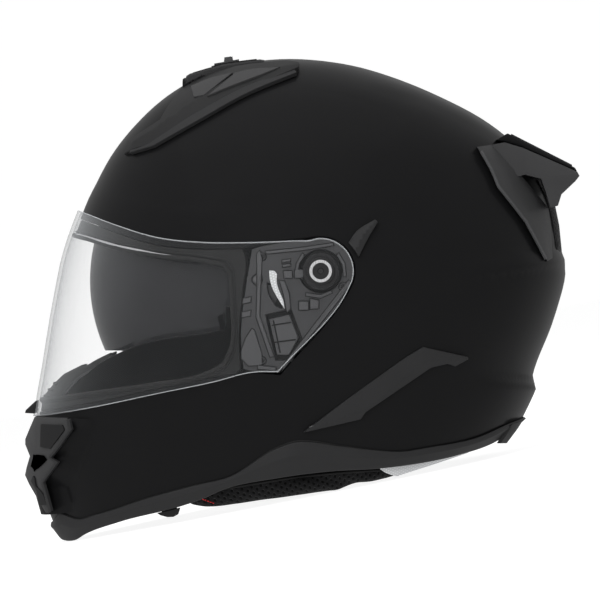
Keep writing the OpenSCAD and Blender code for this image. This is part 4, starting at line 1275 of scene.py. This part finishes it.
def band(name, line, half_w, half_t, replaces=(), shift=0.0):
    """Flat webbing along an [x, z] line, with rounded selvedges."""
    p = smooth(line, 1.6, 60)
    along = unit(np.gradient(p, axis=0))
    out = np.column_stack([-along[:, 1], along[:, 0]])
    edge = [(half_w - 0.5, half_t), (half_w - 0.1, half_t * 0.6), (half_w, 0), (half_w - 0.1, -half_t * 0.6),
            (half_w - 0.5, -half_t), (half_w * 0.86, -half_t * 0.9)]
    section = edge + [(-half_w * 0.86, -half_t * 0.9)] + [(-w, t) for w, t in edge[4::-1]]
    section += [(-half_w * 0.86, half_t * 0.9), (half_w * 0.86, half_t * 0.9)]
    rows = [np.column_stack([p[:, 0] + out[:, 0] * (t + shift), np.full(len(p), STRAP_Y + w),
                             p[:, 1] + out[:, 1] * (t + shift)]) for w, t in section]
    finish_piece(ribbon(name, rows, closed_rows=False, smooth_angle=50), "helmet", WEBBING, replaces)


for side, word in SIDES:
    line = [[side * x, z] for x, z in (STRAP if side > 0 else STRAP[:-1] + [[27, -111]])]
    band("strap_webbing_" + word, line, STRAP_W / 2, STRAP_T / 2, ["strap_" + word])
    # A second layer is stitched on where the webbing turns back at the rivet and at the buckle.
    for k, piece in enumerate([[[110.9, -78], [109.8, -86], [106.4, -95]],
                               [[33.5, -111], [24.5 if side < 0 else 22.5, -111]]]):
        band(f"strap_fold_{k}_{word}", [[side * x, z] for x, z in piece], STRAP_W / 2 - 0.4, 0.6,
             shift=1.45 if side < 0 else -1.45)

# ---------------------------------------------------------------- crown vent
WING = [[-115.2, 69], [-112.5, 75.6], [-93, 88], [-90, 95.6], [-82.2, 110], [-70, 115.4], [-50, 121], [-20, 122.8],
        [-12.4, 120.6], [-13, 117.8], [-42, 105.4], [-72, 88.8], [-99, 73.6]]
WING_CREST = [[-108, 74.5], [-90, 86], [-62, 105], [-40, 114.5], [-14, 119.5]]


def loft(name, stations, material):
    """Rings of (x, z) sections at places along y, closed at both ends. stations: (y, [[x, z], ...])."""
    rows = [np.column_stack([np.array(s)[:, 0], np.full(len(s), y), np.array(s)[:, 1]]) for y, s in stations]
    ends = [np.repeat(row.mean(0, keepdims=True), len(row), 0) for row in (rows[0], rows[-1])]
    obj = ribbon(name, [ends[0], *rows, ends[1]], closed_section=False)
    edited(obj, lambda bm: bmesh.ops.remove_doubles(bm, verts=bm.verts, dist=1e-6), face_outwards)
    finish_piece(obj, "helmet", material)


def hood(half_w, top, base, crown=1.2, edge=1.2):
    """Half-barrel section: low sides, rounded shoulders and a slightly crowned top."""
    right = [[half_w, base], [half_w, top - edge - crown], [half_w - 0.4 * edge, top - 0.4 * edge - crown],
             [half_w - edge, top - crown], [half_w * 0.6, top - crown * 0.35], [half_w * 0.3, top - crown * 0.08]]
    return right + [[0, top]] + [[-x, z] for x, z in right[::-1]]


def strip(x0, z, half_w, low, shoulder, top, round_w):
    """Section of a low strip: a flat top with cut corners."""
    return [[x0 - half_w, z + low], [x0 - half_w, z + shoulder], [x0 - round_w, z + top],
            [x0 + round_w, z + top], [x0 + half_w, z + shoulder], [x0 + half_w, z + low]]


# ---------------------------------------------------------------- plates on the wings, the chin vent and the spoiler
WING_EDGE = [[-113.4, 70.6], [-98.8, 74.6], [-72, 89.6], [-42, 106.2], [-14, 118.2], [-15.4, 120.6], [-43.2, 110],
             [-73.6, 93.8], [-99.6, 78.6], [-112, 73.8]]
CHIN_STEP = [[-149.6, -86.8], [-146.8, -93.2], [-156, -105.8], [-159.6, -110.2], [-155.2, -112.8], [-164.6, -125.2],
             [-159.8, -142.4]]
CHIN_EDGE = ([[-148.4, -86.8]] + CHIN_STEP[1:]
             + [[-161.6, -143], [-166.2, -125.4], [-157.4, -113.2], [-161.6, -110.2], [-157.6, -105.4],
                [-148.8, -93.6], [-150, -87]])
CHIN_FAIRING = CHIN_STEP + [[-146, -143], [-144, -126], [-139, -113], [-136, -106], [-131.5, -94], [-134, -86.8]]
CHIN_SLOT = [[-170.6, -108.4], [-164.6, -109.2], [-162.6, -111.6], [-169.6, -118.4], [-172.6, -116]]
CHIN_LOWER = [[-171.2, -121.6], [-166.8, -127], [-162.6, -138.6], [-165, -137.6], [-172.6, -124.6]]
CHIN_FACET = [[-166, -90.4], [-152.6, -90.6], [-151.4, -93.6], [-160, -105], [-166.4, -104]]
SPOILER_HIGHLIGHT = [[94.6, 71], [100.4, 60.6], [104.9, 49.9], [121.4, 29.2], [133.6, 7.4], [134.4, 8], [122.2, 30],
                [105.8, 50.5], [101.3, 61.2], [95.6, 71.4]]
# Name, outline, top and bottom depths, material, bevel and sharpest rounded corner.
SIDE_PLATES = [
    ("top_vent_edge_", WING_EDGE, -3.1, -0.6, TRIM, 0.4, 12),
    # The two facets on each wing are lighter plastic: a painted highlight where light catches them.
    ("top_vent_facet_0_", [[-77, 110.6], [-66, 115], [-52, 118.4], [-69, 104.6], [-75, 103.6]], -4.7, -2,
     WING_HIGHLIGHT, 0.4, 12),
    ("top_vent_facet_1_", [[-50.4, 118.2], [-43.8, 119.8], [-24, 121.4], [-34.8, 117], [-58.8, 107.6], [-67, 104]],
     -4.9, -2, WING_HIGHLIGHT, 0.4, 12),
    ("chin_vent_edge_", CHIN_EDGE, -9.6, -7.8, TRIM, 0.3, 9),
    # The chin vent's slot is a near-black plate on the vent: painted shade in the opening.
    ("chin_vent_slot_", CHIN_SLOT, -9.35, -8, SHADE_BLACK, 0.2, 9),
    ("chin_vent_lower_", CHIN_LOWER, -9.5, -8, TRIM_DARK, 0.3, 9),
    ("chin_vent_facet_", CHIN_FACET, -9.45, -8, TRIM_DARK, 0.3, 9),
    # A thin pale strip along the spoiler: a painted highlight.
    ("spoiler_highlight_", SPOILER_HIGHLIGHT, -4.2, -3.0, TRIM_PALE_AND_HIGHLIGHT, 0.25, 9),
]
for side, word in SIDES:
    raised("top_vent_wing_" + word, WING, side, crested(WING_CREST, 4.4, 0.9, 13), 0.2, WING_MAT, bevel=0.5, grid=2.4,
           corner=12, replaces=["top_vent_housing"] if side > 0 else [])
    # A soft slope runs from the chin vent's step down to the shell.
    raised("chin_vent_fairing_" + word, CHIN_FAIRING, side,
           crested(CHIN_STEP, 7.05, 0.05, 13.5, lambda share: fade(share, 0, 1)), 0.5, SHELL, bevel=0.05, grid=1.6,
           corner=12)
    for label, outline, top, bottom, material, bevel, corner in SIDE_PLATES:
        raised(label + word, outline, side, top, bottom, material, bevel=bevel, grid=2.4, corner=corner)

# The crown vent's body: y, half width, top and base of each section.
VENT_BODY = ((-80.6, 19, 115.4, 111), (-80, 20, 117.6, 111), (-78, 20.6, 118.9, 112), (-68, 21, 121.9, 114),
             (-58, 21.4, 124.7, 117), (-46, 21, 126.4, 119), (-36, 19.6, 127.5, 120.5), (-33.4, 18.8, 127.1, 121),
             (-32.8, 18.4, 125.4, 121))
loft("top_vent_body", [(y, hood(*section)) for y, *section in VENT_BODY], TRIM)
for k, x0 in enumerate((-13.6, 13.6)):
    loft(f"top_vent_inlay_{k}", [(y, strip(x0, z, 3.6, -1.4, -0.1, 0.25, 3.2)) for y, z in (
        (-76, 118.9), (-68, 121.3), (-58, 124.0), (-47, 125.7), (-38, 126.6))], TRIM_DARK)
# The mouth: an oval throat under the body's front edge, near black with painted shade.
THROAT_W, THROAT_H = 19.4, 3.4
loft("top_vent_throat", [(y, [[THROAT_W * math.cos(a), z + THROAT_H * math.sin(a)] for a in full_turn(24)])
                         for y, z in ((-82.2, 112.4), (-81.4, 112.9), (-76, 114.2), (-70, 116))],
     SHADE_BLACK)
# The slider's channel, near black with painted shade.
loft("top_vent_channel", [(y, [[6.6, z - 1.4], [6.6, z + 0.25], [-6.6, z + 0.25], [-6.6, z - 1.4]])
                          for y, z in ((-65, 123.1), (-57, 125.0), (-46, 126.5), (-38, 127.4))], SHADE_BLACK)
# Strips along the top of the spoiler.
for k in range(9):
    loft(f"spoiler_strip_{k}", [(y, strip((k - 4) * 10.5, z, 2.6, -0.6, 0.35, 0.6, 2.1))
                                for y, z in ((113.5, 81.2), (130, 72.8), (149.4, 62.9))], TRIM)

# ---------------------------------------------------------------- camera, light and ground
CAMERA_DISTANCE, CAMERA_LENS, SENSOR = 4.0, 400, 36
VIEW_CENTRE = [0, -12, -16.8]


def turned_view(back, up):
    """The camera's rotation, from the direction behind it and the way its top leans."""
    right = up.cross(back).normalized()
    return Matrix((right, back.cross(right), back)).transposed().to_quaternion()


target = Vector(place(VIEW_CENTRE).tolist())
camera = bpy.data.objects.new("camera", bpy.data.cameras.new("camera"))
bpy.context.scene.collection.objects.link(camera)
camera.data.lens, camera.data.sensor_width = CAMERA_LENS, SENSOR
camera.data.clip_start, camera.data.clip_end = 0.1, 60
camera.location = target + Vector((CAMERA_DISTANCE, 0, 0))
camera.rotation_mode = "QUATERNION"
camera.rotation_quaternion = turned_view(Vector((1, 0, 0)), Vector(turned(np.array([0, 0, 1.0])).tolist()))
bpy.context.scene.camera = camera
bpy.context.scene.view_settings.view_transform = "Standard"

world = bpy.data.worlds.new("studio")
bpy.context.scene.world = world
world.use_nodes = True
world.node_tree.nodes["Background"].inputs["Color"].default_value = (1, 1, 1, 1)
world.node_tree.nodes["Background"].inputs["Strength"].default_value = 0.28


LIGHT_TARGET = (0, 0, 0.12)


def area_light(name, location, size, power, glossy):
    light = bpy.data.lights.new(name, "AREA")
    light.shape, light.size, light.size_y, light.energy = "RECTANGLE", size[0], size[1], power
    obj = bpy.data.objects.new(name, light)
    bpy.context.scene.collection.objects.link(obj)
    obj.location = location
    obj.rotation_mode = "QUATERNION"
    obj.rotation_quaternion = (Vector(LIGHT_TARGET) - Vector(location)).to_track_quat("-Z", "Y")
    obj.visible_glossy = glossy


area_light("fill_above", (0.3, -0.2, 2.4), (2.6, 2.6), 52, False)
area_light("key_side", (2.2, -0.9, 1.4), (1.6, 1.2), 34, False)
area_light("back_side", (-1.6, 1.6, 1.3), (1.6, 1.2), 26, False)
area_light("sheen_above", (0.4, -0.1, 2.6), (3.2, 3.2), 3, True)


def stage_material(name, colour, emission):
    m, tree, shader = base_material(name, colour, 0.9)
    shader.inputs["Emission Color"].default_value = (1, 1, 1, 1)
    shader.inputs["Emission Strength"].default_value = emission
    tint(tree, shader, colour, noise(tree, 3), 0.995, 1.005)
    return m


# The floor shines a little, and the backdrop wholly, so that both stay plain and pale behind the dark helmet.
FLOOR_RADIUS, FLOOR_DROP, DOME_RADIUS = 9, 0.0004, 9.2
FLOOR_GLOW, DOME_GLOW = 0.9, 1.0
bpy.ops.mesh.primitive_circle_add(vertices=96, radius=FLOOR_RADIUS, fill_type="TRIFAN", location=(0, 0, -FLOOR_DROP))
floor = bpy.context.object
floor.name = "floor"
floor.data.materials.append(stage_material("floor_white", (0.25, 0.25, 0.25), FLOOR_GLOW))
bpy.ops.mesh.primitive_uv_sphere_add(segments=48, ring_count=24, radius=DOME_RADIUS, location=(0, 0, 0))
dome = bpy.context.object
dome.name = "backdrop"
dome.data.materials.append(stage_material("backdrop_white", (0, 0, 0), DOME_GLOW))
for flag in ("visible_diffuse", "visible_glossy", "visible_shadow", "visible_volume_scatter"):
    setattr(dome, flag, False)
floor.visible_glossy = False
